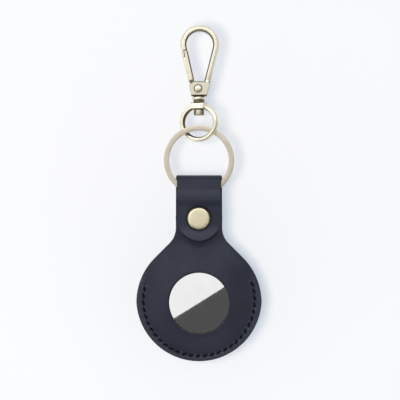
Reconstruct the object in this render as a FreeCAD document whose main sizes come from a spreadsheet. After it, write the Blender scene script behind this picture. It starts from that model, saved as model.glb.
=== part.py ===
# A tracker tag holder: a leather pocket for a round tracker tag, hung from a swivel hook.
# Millimetres, +Z up, front towards -Y. The origin is the bearing point under the hook's crown,
# on the line of pull.
import FreeCAD, Part
import math
import os
import Sketcher

doc = FreeCAD.newDocument("TrackerTagHolder")
sheet = doc.addObject("Spreadsheet::Sheet", "Sizes")

SIZES = (
    # hook
    ("hook_inner_radius", 5.4),
    ("hook_width", 2.4),
    ("hook_thickness", 4.0),
    ("hook_rounding", 0.7),
    ("crown_offset", 0.3),
    ("crown_to_base", 21.1),
    ("base_height", 5.9),
    ("base_width", 6.0),
    ("base_shoulder", 1.0),
    ("base_chamfer_run", 1.7),
    ("base_chamfer_drop", 1.4),
    ("leg_angle", 14.2),
    ("nose_length", 5.2),
    ("nose_lip", 0.85),
    ("nose_shoulder", 2.1),
    ("nose_angle", 10.0),
    ("nose_rise", 0.35),
    # gate
    ("gate_width", 2.15),
    ("gate_thickness", 3.0),
    ("gate_foot_thickness", 1.8),
    ("gate_foot_radius", 1.6),
    ("gate_clearance", 0.35),
    ("gate_slot_clearance", 0.15),
    ("gate_foot_reach", 3.8),
    ("gate_foot_rise", 1.0),
    ("pin_diameter", 1.6),
    ("pin_head_diameter", 2.9),
    ("pin_head_height", 0.5),
    ("pin_rise", 0.05),
    ("pin_offset", 0.35),
    ("running_clearance", 0.06),
    ("spring_leaf", 0.3),
    ("spring_width", 1.2),
    # swivel
    ("spigot_radius", 1.6),
    ("groove_radius", 1.9),
    ("groove_height", 0.5),
    ("collar_radius", 2.8),
    ("collar_height", 0.9),
    ("swivel_neck_height", 1.0),
    ("shank_radius", 1.55),
    ("bar_height", 2.65),
    ("bar_length", 5.7),
    ("bar_depth", 4.4),
    ("bar_end_play", 0.15),
    ("head_radius", 2.1),
    ("head_height", 2.45),
    ("eye_half_height", 6.75),
    ("eye_half_width", 7.35),
    ("eye_wire", 2.25),
    ("eye_rest_angle", 24.0),
    # key ring
    ("ring_outer_radius", 14.15),
    ("ring_width", 2.15),
    ("ring_turn_thickness", 0.85),
    ("ring_turn_gap", 0.45),
    ("ring_crossover_angle", 44.0),
    ("ring_end_angle", 4.0),
    ("ring_slack", 2.45),
    # leather
    ("leather", 1.6),
    ("fold_inner_radius", 2.0),
    ("fold_above_ring", 2.4),
    ("strap_half_at_fold", 8.8),
    ("strap_half", 9.35),
    ("fold_to_snap", 13.8),
    ("snap_above_panel", 8.6),
    ("panel_flange", 4.4),
    ("panel_flattening", 1.5),
    ("neck_fillet", 9.1),
    ("neck_below_ring", 1.55),
    ("window_overlap", 0.39),
    ("pocket_bend", 4.95),
    ("pocket_clearance", 0.3),
    ("pocket_side_clearance", 1.0),
    ("back_flat_inset", 3.95),
    # seam
    ("seam_inset", 2.8),
    ("seam_lift", 0.8),
    ("seam_span_angle", 216.0),
    ("seam_stitches", 30),
    ("thread_width", 0.75),
    ("thread_height", 0.55),
    ("thread_leg_radius", 0.36),
    ("awl_clearance", 0.06),
    # snap
    ("cap_radius", 4.58),
    ("cap_thickness", 0.9),
    ("cap_edge", 0.35),
    ("cap_post_radius", 1.5),
    ("cap_flare_radius", 1.95),
    ("cap_flare_height", 0.25),
    ("socket_radius", 4.1),
    ("socket_web", 0.4),
    ("socket_bore_radius", 2.3),
    ("socket_groove", 0.45),
    ("spring_wire_radius", 0.17),
    ("stud_base_radius", 3.8),
    ("stud_base_height", 0.45),
    ("stud_radius", 1.9),
    ("stud_neck_radius", 1.65),
    ("stud_tip_gap", 0.2),
    ("stud_head", 0.65),
    ("stud_wall", 0.35),
    ("snap_gap", 0.4),
    ("post_flange_radius", 3.4),
    ("post_flange_height", 0.5),
    ("post_radius", 1.1),
    ("set_clearance", 0.05),
    # tag
    ("tag_radius", 15.95),
    ("tag_thickness", 8.0),
    ("tag_rim_drop", 0.35),
    ("tag_wall", 1.15),
    ("tag_lip", 1.05),
    ("cover_inset", 3.2),
    ("cover_thickness", 0.5),
    ("cover_skirt", 2.45),
    ("cover_clearance", 0.1),
    ("seal_radius", 0.4),
    ("cell_inset", 5.95),
    ("cell_thickness", 3.2),
    ("cell_clearance", 0.4),
    ("contact_clearance", 0.1),
    ("contact_thickness", 0.2),
    ("contact_length", 4.0),
    ("contact_width", 1.6),
    ("contact_inset", 4.0),
    ("frame_floor", 0.6),
    ("frame_wall", 1.1),
    ("frame_wall_height", 2.0),
    ("board_thickness", 0.6),
    ("board_hole_share", 0.56),
    ("board_edge", 0.8),
    ("magnet_share", 0.35),
    ("magnet_height", 1.0),
    ("coil_share", 0.45),
    ("coil_wall", 0.6),
    ("coil_height", 1.0),
    ("coil_clearance", 0.2),
)

for row, (alias, number) in enumerate(SIZES, start=1):
    sheet.set("A%d" % row, alias.replace("_", " "))
    sheet.set("B%d" % row, str(number))
    sheet.setAlias("B%d" % row, alias)
doc.recompute()


class Size:
    """A number with the sheet formula that gives it, so that both come from one line."""

    def __init__(self, value, formula):
        self.value = value
        self.formula = formula

    def __add__(self, other):
        other = as_size(other)
        return Size(self.value + other.value, "(%s + %s)" % (self.formula, other.formula))

    def __sub__(self, other):
        other = as_size(other)
        return Size(self.value - other.value, "(%s - %s)" % (self.formula, other.formula))

    def __mul__(self, other):
        other = as_size(other)
        return Size(self.value * other.value, "(%s * %s)" % (self.formula, other.formula))

    def __truediv__(self, other):
        other = as_size(other)
        return Size(self.value / other.value, "(%s / %s)" % (self.formula, other.formula))

    def __radd__(self, other):
        return as_size(other) + self

    def __rsub__(self, other):
        return as_size(other) - self

    def __rmul__(self, other):
        return as_size(other) * self

    def __neg__(self):
        return Size(-self.value, "(-%s)" % self.formula)


def as_size(number):
    """A plain number as a size, or the size itself."""
    if isinstance(number, Size):
        return number
    return Size(float(number), repr(float(number)))


def size(alias):
    """The size in the sheet's cell of that name."""
    return Size(float(sheet.get(alias)), "Sizes.%s" % alias)


def root(of):
    """The square root of a size."""
    return Size(math.sqrt(of.value), "sqrt(%s)" % of.formula)


def cosine(degrees):
    """The cosine of an angle in degrees."""
    return Size(math.cos(math.radians(degrees.value)), "cos(%s)" % degrees.formula)


def sine(degrees):
    """The sine of an angle in degrees."""
    return Size(math.sin(math.radians(degrees.value)), "sin(%s)" % degrees.formula)


ZERO = as_size(0)
DOWNWARD = -90.0
FULL_TURN = 360.0
RING_RAMP_STEPS = 8
RING_STATION_STEP = 4
RING_HALF_TURN = 180
SNAP_SPRING_SWEEP = 330.0
CONTACT_COUNT = 3

# Radii about the tag's centre, each from the tag's own radius
cover_radius = size("tag_radius") - size("cover_inset")
window_radius = cover_radius - size("window_overlap")
cell_radius = size("tag_radius") - size("cell_inset")
magnet_radius = cell_radius * size("magnet_share")
coil_radius = cell_radius * size("coil_share")
board_hole_radius = cell_radius * size("board_hole_share")
back_flat_radius = size("tag_radius") - size("back_flat_inset")
pocket_edge = size("tag_radius") + size("pocket_bend")
panel_radius = pocket_edge + size("panel_flange")
panel_bottom = panel_radius - size("panel_flattening")
seam_radius = panel_radius - size("seam_inset")
snap_to_tag = panel_radius + size("snap_above_panel")

# Height of the gate's pivot in the hook's base
pin_height = size("base_height") / 2 + size("pin_rise")

# Places along the line of pull, from the crown down
base_bottom = -size("hook_inner_radius") - size("crown_to_base")
collar_top = base_bottom - size("groove_height")
collar_bottom = collar_top - size("collar_height")
post_shoulder = collar_bottom - size("swivel_neck_height")
bar_top = post_shoulder - size("bar_end_play")
bar_bottom = bar_top - size("bar_height")
head_top = bar_bottom - size("bar_end_play")
eye_centre = bar_top - size("bar_height") / 2 - size("eye_half_height")
eye_inner_bottom = eye_centre - size("eye_half_height") + size("eye_wire") / 2
ring_inner_radius = size("ring_outer_radius") - size("ring_width")
ring_centre = eye_inner_bottom + size("ring_slack") - ring_inner_radius
fold_centre = ring_centre - ring_inner_radius + size("fold_above_ring")
snap_centre = fold_centre - size("fold_to_snap")
tag_centre = snap_centre - snap_to_tag

# Places from front to back
seam_plane = size("fold_inner_radius")
neck_front = seam_plane - size("leather")
tongue_rear = -size("fold_inner_radius")
tongue_front = tongue_rear - size("leather")

subparts = []


def finished(thing):
    """Counts the object as one of the sub-parts that are written out."""
    subparts.append(thing)
    return thing


def place(thing, x=ZERO, y=ZERO, z=ZERO):
    """Binds an object's place to the sheet."""
    for axis, distance in zip("xyz", (x, y, z)):
        thing.setExpression("Placement.Base." + axis, distance.formula)


def bind(thing, **sizes):
    """Binds an object's properties to the sheet."""
    for name, value in sizes.items():
        thing.setExpression(name, value.formula)


def new_body(label, x=ZERO, y=ZERO, z=ZERO):
    """An empty body at a place that is bound to the sheet."""
    body = doc.addObject("PartDesign::Body", label)
    place(body, x, y, z)
    return finished(body)


def new_sketch(body, plane):
    """A sketch on one of the body's own origin planes."""
    sketch = body.newObject("Sketcher::SketchObject", body.Label + "_sketch")
    support = next(f for f in body.Origin.OriginFeatures if f.Role == plane)
    sketch.AttachmentSupport = (support, [""])
    sketch.MapMode = "FlatFace"
    return sketch


def pin_point(sketch, geometry, position, point):
    """Holds a sketch point at its two sizes from the sketch's origin."""
    for kind, distance in zip(("DistanceX", "DistanceY"), point):
        rule = Sketcher.Constraint(kind, -1, 1, geometry, position, distance.value)
        index = sketch.addConstraint(rule)
        sketch.setExpression("Constraints[%d]" % index, distance.formula)


def arc_between(start, end, radius, side):
    """The shorter arc from start to end. Side 1 turns left round its centre, side -1 turns right."""
    chord = end - start
    rise = math.sqrt(max(radius ** 2 - chord.Length ** 2 / 4, 0))
    across = FreeCAD.Vector(-chord.y, chord.x, 0).normalize()
    centre = (start + end) / 2 + across * (rise * side)
    circle = Part.Circle(centre, FreeCAD.Vector(0, 0, 1), radius)
    first, last = (start, end) if side > 0 else (end, start)
    angles = [math.atan2(p.y - centre.y, p.x - centre.x) for p in (first, last)]
    return Part.ArcOfCircle(circle, *angles)


def draw(sketch, points, arcs={}):
    """Draws a closed outline through the points. An entry of arcs bends the stretch that starts at
    that point: (radius, side)."""
    points = [(as_size(u), as_size(v)) for u, v in points]
    spots = [FreeCAD.Vector(u.value, v.value, 0) for u, v in points]
    stretches = []
    for index, start in enumerate(spots):
        end = spots[(index + 1) % len(spots)]
        if index in arcs:
            radius, side = arcs[index]
            geometry = sketch.addGeometry(arc_between(start, end, radius.value, side))
            rule = sketch.addConstraint(Sketcher.Constraint("Radius", geometry, radius.value))
            sketch.setExpression("Constraints[%d]" % rule, radius.formula)
            stretches.append((geometry, 1, 2) if side > 0 else (geometry, 2, 1))
        else:
            stretches.append((sketch.addGeometry(Part.LineSegment(start, end)), 1, 2))
    for index, (geometry, _, end) in enumerate(stretches):
        following, start, _ = stretches[(index + 1) % len(stretches)]
        sketch.addConstraint(Sketcher.Constraint("Coincident", geometry, end, following, start))
    for (geometry, start, _), point in zip(stretches, points):
        pin_point(sketch, geometry, start, point)
    return sketch


def draw_circle(sketch, u, v, radius):
    """Draws a circle whose centre and radius are bound to the sheet."""
    centre = FreeCAD.Vector(u.value, v.value, 0)
    geometry = sketch.addGeometry(Part.Circle(centre, FreeCAD.Vector(0, 0, 1), radius.value))
    rule = sketch.addConstraint(Sketcher.Constraint("Radius", geometry, radius.value))
    sketch.setExpression("Constraints[%d]" % rule, radius.formula)
    pin_point(sketch, geometry, 3, (u, v))
    return sketch


def feature(body, kind, sketch):
    """A feature of the body that is made from the sketch."""
    made = body.newObject("PartDesign::" + kind, "%s_%s" % (body.Label, kind.lower()))
    made.Profile = sketch
    return made


def pad(body, sketch, length, both_ways=False, rearward=False):
    """Pads a sketch forward by a length, rearward, or half of it each way."""
    made = feature(body, "Pad", sketch)
    made.SideType = "Symmetric" if both_ways else "One side"
    made.Reversed = rearward
    bind(made, Length=length)
    return made


def pocket(body, sketch, length):
    """Cuts a sketch out of the body, half of the length each way."""
    made = feature(body, "Pocket", sketch)
    made.SideType = "Symmetric"
    bind(made, Length=length)
    return made


def turned(body, plane, points, arcs={}, kind="Revolution"):
    """Adds, or as a Groove cuts, a profile turned about its plane's upright axis."""
    sketch = draw(new_sketch(body, plane), points, arcs)
    made = feature(body, kind, sketch)
    made.ReferenceAxis = (sketch, ["V_Axis"])
    made.Angle = FULL_TURN
    return made


def polar_copies(body, original, sweep, count):
    """Repeats a feature about the body's Y axis, over a sweep and in a number from the sheet."""
    copies = body.newObject("PartDesign::PolarPattern", body.Label + "_copies")
    copies.Originals = [original]
    axis = next(f for f in body.Origin.OriginFeatures if f.Role == "Y_Axis")
    copies.Axis = (axis, [""])
    bind(copies, Angle=sweep, Occurrences=count)
    body.Tip = copies
    return copies


def nose_side(radius, drop):
    """Distance of the nose's straight side from the swivel's axis, at a drop below the crown's centre."""
    angle = size("nose_angle")
    run = (drop - radius * sine(angle)) * sine(angle) / cosine(angle)
    return size("crown_offset") - radius * cosine(angle) + run


def make_hook_body():
    """Crown, leg, nose and slotted base of the hook, on the swivel's axis at the crown's centre height."""
    body = new_body("hook_body", z=-size("hook_inner_radius"))
    inner = size("hook_inner_radius")
    outer = inner + size("hook_width")
    middle = size("crown_offset")
    leg = size("leg_angle")
    slope = sine(leg) / cosine(leg)
    nose = size("nose_angle")
    shoulder = size("nose_shoulder")
    inner_shoulder = shoulder - size("nose_rise")
    bottom = -size("crown_to_base")
    top = bottom + size("base_height")
    half = size("base_width") / 2
    left = -half - size("base_shoulder")
    points = [
        (middle - outer * cosine(nose), -outer * sine(nose)),
        (nose_side(outer, size("nose_length")), -size("nose_length")),
        (nose_side(outer, size("nose_length")) + size("nose_lip"), -size("nose_length")),
        (nose_side(outer, shoulder) + size("nose_lip"), -shoulder),
        (nose_side(inner, inner_shoulder), -inner_shoulder),
        (middle - inner * cosine(nose), -inner * sine(nose)),
        (middle, inner),
        (middle + inner * cosine(leg), -inner * sine(leg)),
        (middle + inner * cosine(leg) + slope * (top + inner * sine(leg)), top),
        (left + size("base_chamfer_run"), top),
        (left, top - size("base_chamfer_drop")),
        (-half, bottom),
        (middle + outer * cosine(leg) + slope * (bottom + outer * sine(leg)), bottom),
        (middle + outer * cosine(leg), -outer * sine(leg)),
        (middle, outer),
    ]
    arcs = {5: (inner, -1), 6: (inner, -1), 13: (outer, 1), 14: (outer, 1)}
    outline = draw(new_sketch(body, "XZ_Plane"), points, arcs)
    crown = pad(body, outline, size("hook_thickness"), both_ways=True)
    doc.recompute()
    rounded = body.newObject("PartDesign::Fillet", "hook_rounded")
    rounded.Base = (crown, crown_edges(crown.Shape))
    bind(rounded, Radius=size("hook_rounding"))

    room = size("gate_foot_radius") + size("gate_clearance")
    pivot_x = -size("pin_offset")
    pivot_z = bottom + pin_height
    slot = draw(new_sketch(body, "XZ_Plane"), [
        (middle - outer, pivot_z - room),
        (pivot_x + room, pivot_z - room),
        (pivot_x + room, top + room),
        (middle - outer, top + room),
    ])
    foot_room = size("gate_foot_thickness") + 2 * size("gate_slot_clearance")
    pocket(body, slot, foot_room)
    hole = draw_circle(new_sketch(body, "XZ_Plane"), pivot_x, pivot_z, size("pin_diameter") / 2)
    pocket(body, hole, 2 * size("hook_thickness"))
    spigot = size("spigot_radius") + size("set_clearance")
    floor = pivot_z - room
    turned(body, "XZ_Plane", [
        (ZERO, bottom - spigot),
        (spigot, bottom - spigot),
        (spigot, floor + spigot / 2),
        (ZERO, floor + spigot / 2),
    ], kind="Groove")


def crown_edges(shape):
    """The edges of the crown and leg on the hook's two faces, which the casting rounds."""
    names = []
    for index, edge in enumerate(shape.Edges, start=1):
        ends = [v.Point for v in edge.Vertexes]
        across = max(p.y for p in ends) - min(p.y for p in ends)
        long_line = edge.Length > 2 * size("hook_inner_radius").value
        round_line = isinstance(edge.Curve, Part.Circle)
        if across < size("set_clearance").value and (long_line or round_line):
            names.append("Edge%d" % index)
    return names


def make_gate():
    """Sprung bar of the hook, about its pivot."""
    body = new_body("gate", x=-size("pin_offset"), z=base_bottom + pin_height)
    outer = size("hook_inner_radius") + size("hook_width")
    pivot_to_crown = size("crown_to_base") - pin_height
    clearance = size("gate_clearance")
    tip = pivot_to_crown - size("nose_shoulder") - clearance
    step = pivot_to_crown - size("nose_length") - clearance
    outer_side = nose_side(outer, size("nose_length")) + size("pin_offset")
    lip = size("nose_lip") + clearance + size("pin_offset")
    foot_left = -size("gate_foot_reach")
    foot_bottom = size("base_height") - pin_height
    heel_x = foot_left + size("gate_width")
    heel_z = foot_bottom + size("gate_foot_rise")
    bar = draw(new_sketch(body, "XZ_Plane"), [
        (foot_left, foot_bottom),
        (heel_x, heel_z),
        (outer_side + size("gate_width"), tip),
        (nose_side(outer, size("nose_shoulder")) + lip, tip),
        (nose_side(outer, size("nose_length")) + lip, step),
        (outer_side, step),
    ])
    pad(body, bar, size("gate_thickness"), both_ways=True)
    radius = size("gate_foot_radius")
    foot = draw(new_sketch(body, "XZ_Plane"), [
        (foot_left, foot_bottom),
        (-radius, ZERO),
        (ZERO, -radius),
        (radius, ZERO),
        (ZERO, radius),
        (heel_x, heel_z),
    ], {1: (radius, 1), 2: (radius, 1), 3: (radius, 1)})
    pad(body, foot, size("gate_foot_thickness"), both_ways=True)
    bore = size("pin_diameter") / 2 + size("running_clearance")
    hole = draw_circle(new_sketch(body, "XZ_Plane"), ZERO, ZERO, bore)
    pocket(body, hole, 2 * size("gate_thickness"))


def make_gate_pin():
    """Riveted pin with a head on each face of the base."""
    body = new_body("gate_pin", x=-size("pin_offset"), z=base_bottom + pin_height)
    shank = size("pin_diameter") / 2
    head = size("pin_head_diameter") / 2
    face = size("hook_thickness") / 2
    end = face + size("pin_head_height")
    turned(body, "XY_Plane", [
        (ZERO, -end), (head - size("pin_head_height") / 2, -end), (head, -face - size("pin_head_height") / 2),
        (head, -face), (shank, -face), (shank, face),
        (head, face), (head, face + size("pin_head_height") / 2), (head - size("pin_head_height") / 2, end),
        (ZERO, end),
    ])


def make_gate_spring():
    """Leaf spring in the base's slot that pushes the gate shut."""
    body = new_body("gate_spring", x=-size("pin_offset"), z=base_bottom + pin_height)
    wall = size("gate_foot_radius") + size("gate_clearance") - size("running_clearance")
    top = size("base_height") - pin_height - size("gate_slot_clearance")
    leaf = size("spring_leaf")
    outline = draw(new_sketch(body, "XZ_Plane"), [
        (wall, -leaf),
        (wall, top),
        (-size("gate_slot_clearance"), top),
        (-size("gate_slot_clearance"), top - leaf),
        (wall - leaf, top - leaf),
        (wall - leaf, -leaf),
    ])
    pad(body, outline, size("spring_width"), both_ways=True)


def make_swivel_post():
    """Post riveted into the hook's base, with a collar above the eye's bar and a head below it."""
    body = new_body("swivel_post")
    room = size("gate_foot_radius") + size("gate_clearance")
    spigot_top = base_bottom + pin_height - room
    groove = size("groove_radius")
    collar = size("collar_radius")
    shank = size("shank_radius")
    head = size("head_radius")
    head_bottom = head_top - size("head_height")
    turned(body, "XZ_Plane", [
        (ZERO, spigot_top), (size("spigot_radius"), spigot_top), (size("spigot_radius"), base_bottom),
        (groove, base_bottom), (groove, collar_top), (collar, collar_top), (collar, collar_bottom),
        (groove, collar_bottom), (groove, post_shoulder), (shank, post_shoulder), (shank, head_top),
        (head, head_top), (head, head_bottom), (ZERO, head_bottom),
    ])


def make_swivel_eye():
    """Oval eye of round wire with a flat bar that is bored for the post."""
    half_height = size("eye_half_height").value
    half_width = size("eye_half_width").value
    length, depth, height = (size(name).value for name in ("bar_length", "bar_depth", "bar_height"))
    upright = FreeCAD.Vector(0, 0, 1)
    oval = Part.Ellipse(FreeCAD.Vector(), half_width, half_height).toShape()
    oval.rotate(FreeCAD.Vector(), FreeCAD.Vector(1, 0, 0), 90)
    side = FreeCAD.Vector(half_width, 0, 0)
    section = Part.Wire(Part.makeCircle(size("eye_wire").value / 2, side, upright))
    loop = Part.Wire(oval).makePipeShell([section], True, True)
    corner = FreeCAD.Vector(-length / 2, -depth / 2, half_height - height / 2)
    bar = Part.makeBox(length, depth, height, corner)
    bore_radius = (size("shank_radius") + size("running_clearance")).value
    bore = Part.makeCylinder(bore_radius, 2 * height, FreeCAD.Vector(0, 0, half_height - height), upright)
    eye = doc.addObject("Part::Feature", "swivel_eye")
    eye.Shape = loop.fuse(bar).cut(bore)
    eye.Placement = FreeCAD.Placement(FreeCAD.Vector(), FreeCAD.Rotation(FreeCAD.Vector(0, 0, -1), 1))
    bind(eye, **{"Placement.Rotation.Angle": size("eye_rest_angle")})
    place(eye, z=eye_centre)
    finished(eye)


def ring_section(angle, depth):
    """The ring's rectangular section at an angle round its axis, as four corners."""
    inner = ring_inner_radius.value
    outer = size("ring_outer_radius").value
    half = size("ring_turn_thickness").value / 2
    across = FreeCAD.Vector(math.cos(math.radians(angle)), 0, math.sin(math.radians(angle)))
    along = FreeCAD.Vector(0, 1, 0)
    return [across * r + along * (depth + side * half)
            for r, side in ((inner, -1), (outer, -1), (outer, 1), (inner, 1))]


def ring_wire(travel):
    """Angle and depth of the split ring's wire after a travel in degrees from its front end."""
    pitch = size("ring_turn_thickness").value + size("ring_turn_gap").value
    cross = size("ring_crossover_angle").value
    turn = FULL_TURN - cross - size("ring_end_angle").value
    share = min(max((travel - turn) / cross, 0.0), 1.0)
    eased = share * share * (3 - 2 * share)
    return DOWNWARD - cross / 2 - turn + travel, pitch * (eased - 0.5)


def make_key_ring():
    """Flat split ring of two turns, one behind the other, that cross over at the bottom."""
    cross = size("ring_crossover_angle").value
    turn = FULL_TURN - cross - size("ring_end_angle").value

    def flat_turn(travel):
        face = Part.Face(Part.makePolygon(closed(ring_section(*ring_wire(travel)))))
        return face.revolve(FreeCAD.Vector(), FreeCAD.Vector(0, 1, 0), -turn)

    shares = [step / RING_RAMP_STEPS for step in range(RING_RAMP_STEPS + 1)]
    sections = [ring_section(*ring_wire(turn + cross * share)) for share in shares]
    ramp = Part.makeLoft([Part.makePolygon(closed(s)) for s in sections], True, True)
    ring = ramp.fuse([flat_turn(0.0), flat_turn(turn + cross)])
    made = doc.addObject("Part::Feature", "key_ring")
    made.Shape = ring.Solids[0]
    place(made, z=ring_centre)
    finished(made)

    travels = range(0, int(2 * turn + cross), RING_STATION_STEP)
    stations = [ring_section(*ring_wire(float(travel))) for travel in travels]
    apart = RING_HALF_TURN // RING_STATION_STEP
    gaps = [(a - b).Length for i, one in enumerate(stations) for other in stations[i + apart:]
            for a in one for b in other]
    print("key ring: least gap between turns %.2f mm" % min(gaps))


def closed(points):
    """The points with the first one again at the end."""
    return points + points[:1]


def panel_outline(neck_half, neck_top, top_half):
    """Round pocket outline with sloping shoulders and a neck, about the tag's centre."""
    radius = panel_radius
    bottom = panel_bottom
    diagonal = radius / root(as_size(2))
    corner = radius * root(as_size(2)) - neck_half
    fillet = size("neck_fillet")
    reach = fillet * (root(as_size(2)) - 1)
    slant = reach / root(as_size(2))
    right = [
        (top_half, neck_top),
        (neck_half, corner + reach),
        (neck_half + slant, corner - slant),
        (diagonal, diagonal),
        (radius, ZERO),
        (ZERO, -bottom),
    ]
    left = [(-u, v) for u, v in reversed(right[:-1])]
    lower = (radius * radius + bottom * bottom) / (2 * bottom)
    arcs = {1: (fillet, 1), 3: (radius, -1), 4: (lower, -1), 5: (lower, -1), 6: (radius, -1), 8: (fillet, 1)}
    return right + left, arcs


def dome_profile(start, top, flange, rim):
    """Where the S of a pressed dome's half section turns, from level at its start down to its rim:
    the radius and height of that point and the radius of both bends."""
    run = rim - start
    drop = top - flange
    bend = (run * run + drop * drop) / (4 * drop)
    return start + run / 2, flange + drop / 2, bend


def pocket_side():
    """Radius of the room for the tag's edge at the seam."""
    return size("tag_radius") + size("pocket_side_clearance")


def make_front_panel():
    """Front of the pocket, pressed over the tag, with the window and the neck under the tongue."""
    body = new_body("front_panel", y=seam_plane, z=tag_centre)
    leather = size("leather")
    neck_top = ring_centre - size("ring_outer_radius") - size("neck_below_ring") - tag_centre
    neck_half = size("strap_half")
    outline = draw(new_sketch(body, "XZ_Plane"), *panel_outline(neck_half, neck_top, neck_half))
    pad(body, outline, leather)
    depth = size("tag_thickness") / 2 - size("tag_rim_drop") + size("pocket_clearance")
    top = depth + leather
    start = window_radius
    rim = pocket_edge
    bend_r, bend_y, bend = dome_profile(start, top, leather, rim)
    turned(body, "XY_Plane", [
        (start - leather, ZERO), (rim, ZERO), (rim, -leather), (bend_r, -bend_y), (start, -top),
        (start - leather, -top),
    ], {2: (bend, 1), 3: (bend, -1)})
    side = pocket_side()
    turned(body, "XY_Plane", [
        (ZERO, leather), (side, leather), (side, ZERO), (side - depth, -depth), (ZERO, -depth),
    ], {2: (depth, -1)}, kind="Groove")
    window = draw_circle(new_sketch(body, "XZ_Plane"), ZERO, ZERO, start)
    pocket(body, window, 4 * top)
    snap = snap_to_tag
    post = draw_circle(new_sketch(body, "XZ_Plane"), ZERO, snap, size("post_radius") + size("set_clearance"))
    pocket(body, post, 4 * leather)
    seat = draw_circle(
        new_sketch(body, "XZ_Plane"), ZERO, snap, size("post_flange_radius") + size("set_clearance")
    )
    pocket(body, seat, 2 * size("post_flange_height"))
    sew(body)


def make_back_panel():
    """Back of the pocket, pressed over the tag, with the rear half of the strap."""
    body = new_body("back_panel", y=seam_plane, z=tag_centre)
    leather = size("leather")
    outline = panel_outline(size("strap_half"), fold_centre - tag_centre, size("strap_half_at_fold"))
    pad(body, draw(new_sketch(body, "XZ_Plane"), *outline), leather, rearward=True)
    depth = size("tag_thickness") / 2 + size("pocket_clearance")
    top = depth + leather
    start = back_flat_radius
    rim = pocket_edge
    bend_r, bend_y, bend = dome_profile(start, top, leather, rim)
    turned(body, "XY_Plane", [
        (ZERO, ZERO), (rim, ZERO), (rim, leather), (bend_r, bend_y), (start, top), (ZERO, top),
    ], {2: (bend, -1), 3: (bend, 1)})
    side = pocket_side()
    turned(body, "XY_Plane", [
        (ZERO, -leather), (side, -leather), (side, ZERO), (side - depth, depth), (ZERO, depth),
    ], {2: (depth, 1)}, kind="Groove")
    sew(body)


def seam_angle(turns):
    """Angle on the seam's circle after a number of stitches from its right-hand end."""
    first = DOWNWARD + size("seam_span_angle") / 2
    return first - size("seam_span_angle") / size("seam_stitches") * turns


def sew(body):
    """Pierces the awl holes of the seam through a panel."""
    lift = size("seam_lift")
    hole_radius = size("thread_leg_radius") + size("awl_clearance")
    count = int(size("seam_stitches").value)
    sketch = new_sketch(body, "XZ_Plane")
    for stitch in range(count + 1):
        angle = seam_angle(stitch)
        u = seam_radius * cosine(angle)
        v = seam_radius * sine(angle) + lift
        draw_circle(sketch, u, v, hole_radius)
    pocket(body, sketch, 4 * size("leather"))


def make_strap_fold():
    """Bend of the strap round the key ring."""
    body = new_body("strap_fold", z=fold_centre)
    inner = size("fold_inner_radius")
    outer = inner + size("leather")
    points = [(outer, ZERO), (ZERO, outer), (-outer, ZERO), (-inner, ZERO), (ZERO, inner), (inner, ZERO)]
    arcs = {0: (outer, 1), 1: (outer, 1), 3: (inner, -1), 4: (inner, -1)}
    section = draw(new_sketch(body, "YZ_Plane"), points, arcs)
    pad(body, section, 2 * size("strap_half_at_fold"), both_ways=True)


def make_strap_tongue():
    """Front end of the strap, round about the snap."""
    body = new_body("strap_tongue", y=tongue_rear, z=snap_centre)
    half = size("strap_half")
    at_fold = size("strap_half_at_fold")
    up = size("fold_to_snap")
    points = [(at_fold, up), (-at_fold, up), (-half, ZERO), (ZERO, -half), (half, ZERO)]
    outline = draw(new_sketch(body, "XZ_Plane"), points, {2: (half, 1), 3: (half, 1)})
    pad(body, outline, size("leather"))
    hole_radius = size("cap_post_radius") + size("set_clearance")
    pocket(body, draw_circle(new_sketch(body, "XZ_Plane"), ZERO, ZERO, hole_radius), 4 * size("leather"))


def make_seam_thread(label, rearward):
    """One thread of the lockstitched seam: a run of stitches on its panel, and a leg in each hole."""
    body = new_body(label, y=seam_plane, z=tag_centre + size("seam_lift"))
    radius = seam_radius
    step = size("seam_span_angle") / size("seam_stitches")
    middle = seam_angle(0.5)
    out = (cosine(middle), sine(middle))
    along = (-sine(middle), cosine(middle))
    half_width = size("thread_width") / 2
    half_length = radius * sine(step / 2) + half_width / 2
    mid_radius = radius * cosine(step / 2)
    corners = []
    for side, end in ((-1, -1), (1, -1), (1, 1), (-1, 1)):
        reach = mid_radius + side * half_width
        corners.append(tuple(reach * out[k] + end * half_length * along[k] for k in range(2)))
    sketch = draw(new_sketch(body, "XZ_Plane"), corners)
    away = -size("leather") if rearward else size("leather")
    sketch.setExpression("AttachmentOffset.Base.z", away.formula)
    stitch = pad(body, sketch, size("thread_height"), rearward=rearward)
    doc.recompute()
    polar_copies(body, stitch, size("seam_span_angle") - step, size("seam_stitches"))
    legs = new_sketch(body, "XZ_Plane")
    for turn in range(int(size("seam_stitches").value) + 1):
        angle = seam_angle(turn)
        draw_circle(legs, radius * cosine(angle), radius * sine(angle), size("thread_leg_radius"))
    pad(body, legs, size("leather") + size("thread_height") / 2, rearward=rearward)


# Depths of the snap's pieces, from the tongue to the neck
socket_floor = tongue_rear + size("socket_web")
flare_end = socket_floor + size("cap_flare_height")
stud_front = neck_front - size("stud_base_height")
socket_mouth = stud_front - size("snap_gap")
stud_tip = flare_end + size("stud_tip_gap")
groove_middle = (socket_floor + socket_mouth) / 2


def make_snap_cap():
    """Round cap on the tongue, with a post that is flared in the socket."""
    body = new_body("snap_cap", z=snap_centre)
    radius = size("cap_radius")
    edge = size("cap_edge")
    front = tongue_front - size("cap_thickness")
    post = size("cap_post_radius")
    flare = size("cap_flare_radius")
    turned(body, "XY_Plane", [
        (ZERO, front), (radius - 2 * edge, front), (radius, front + edge), (radius, tongue_front),
        (post, tongue_front), (post, socket_floor), (flare, socket_floor), (flare, flare_end),
        (ZERO, flare_end),
    ])


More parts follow.
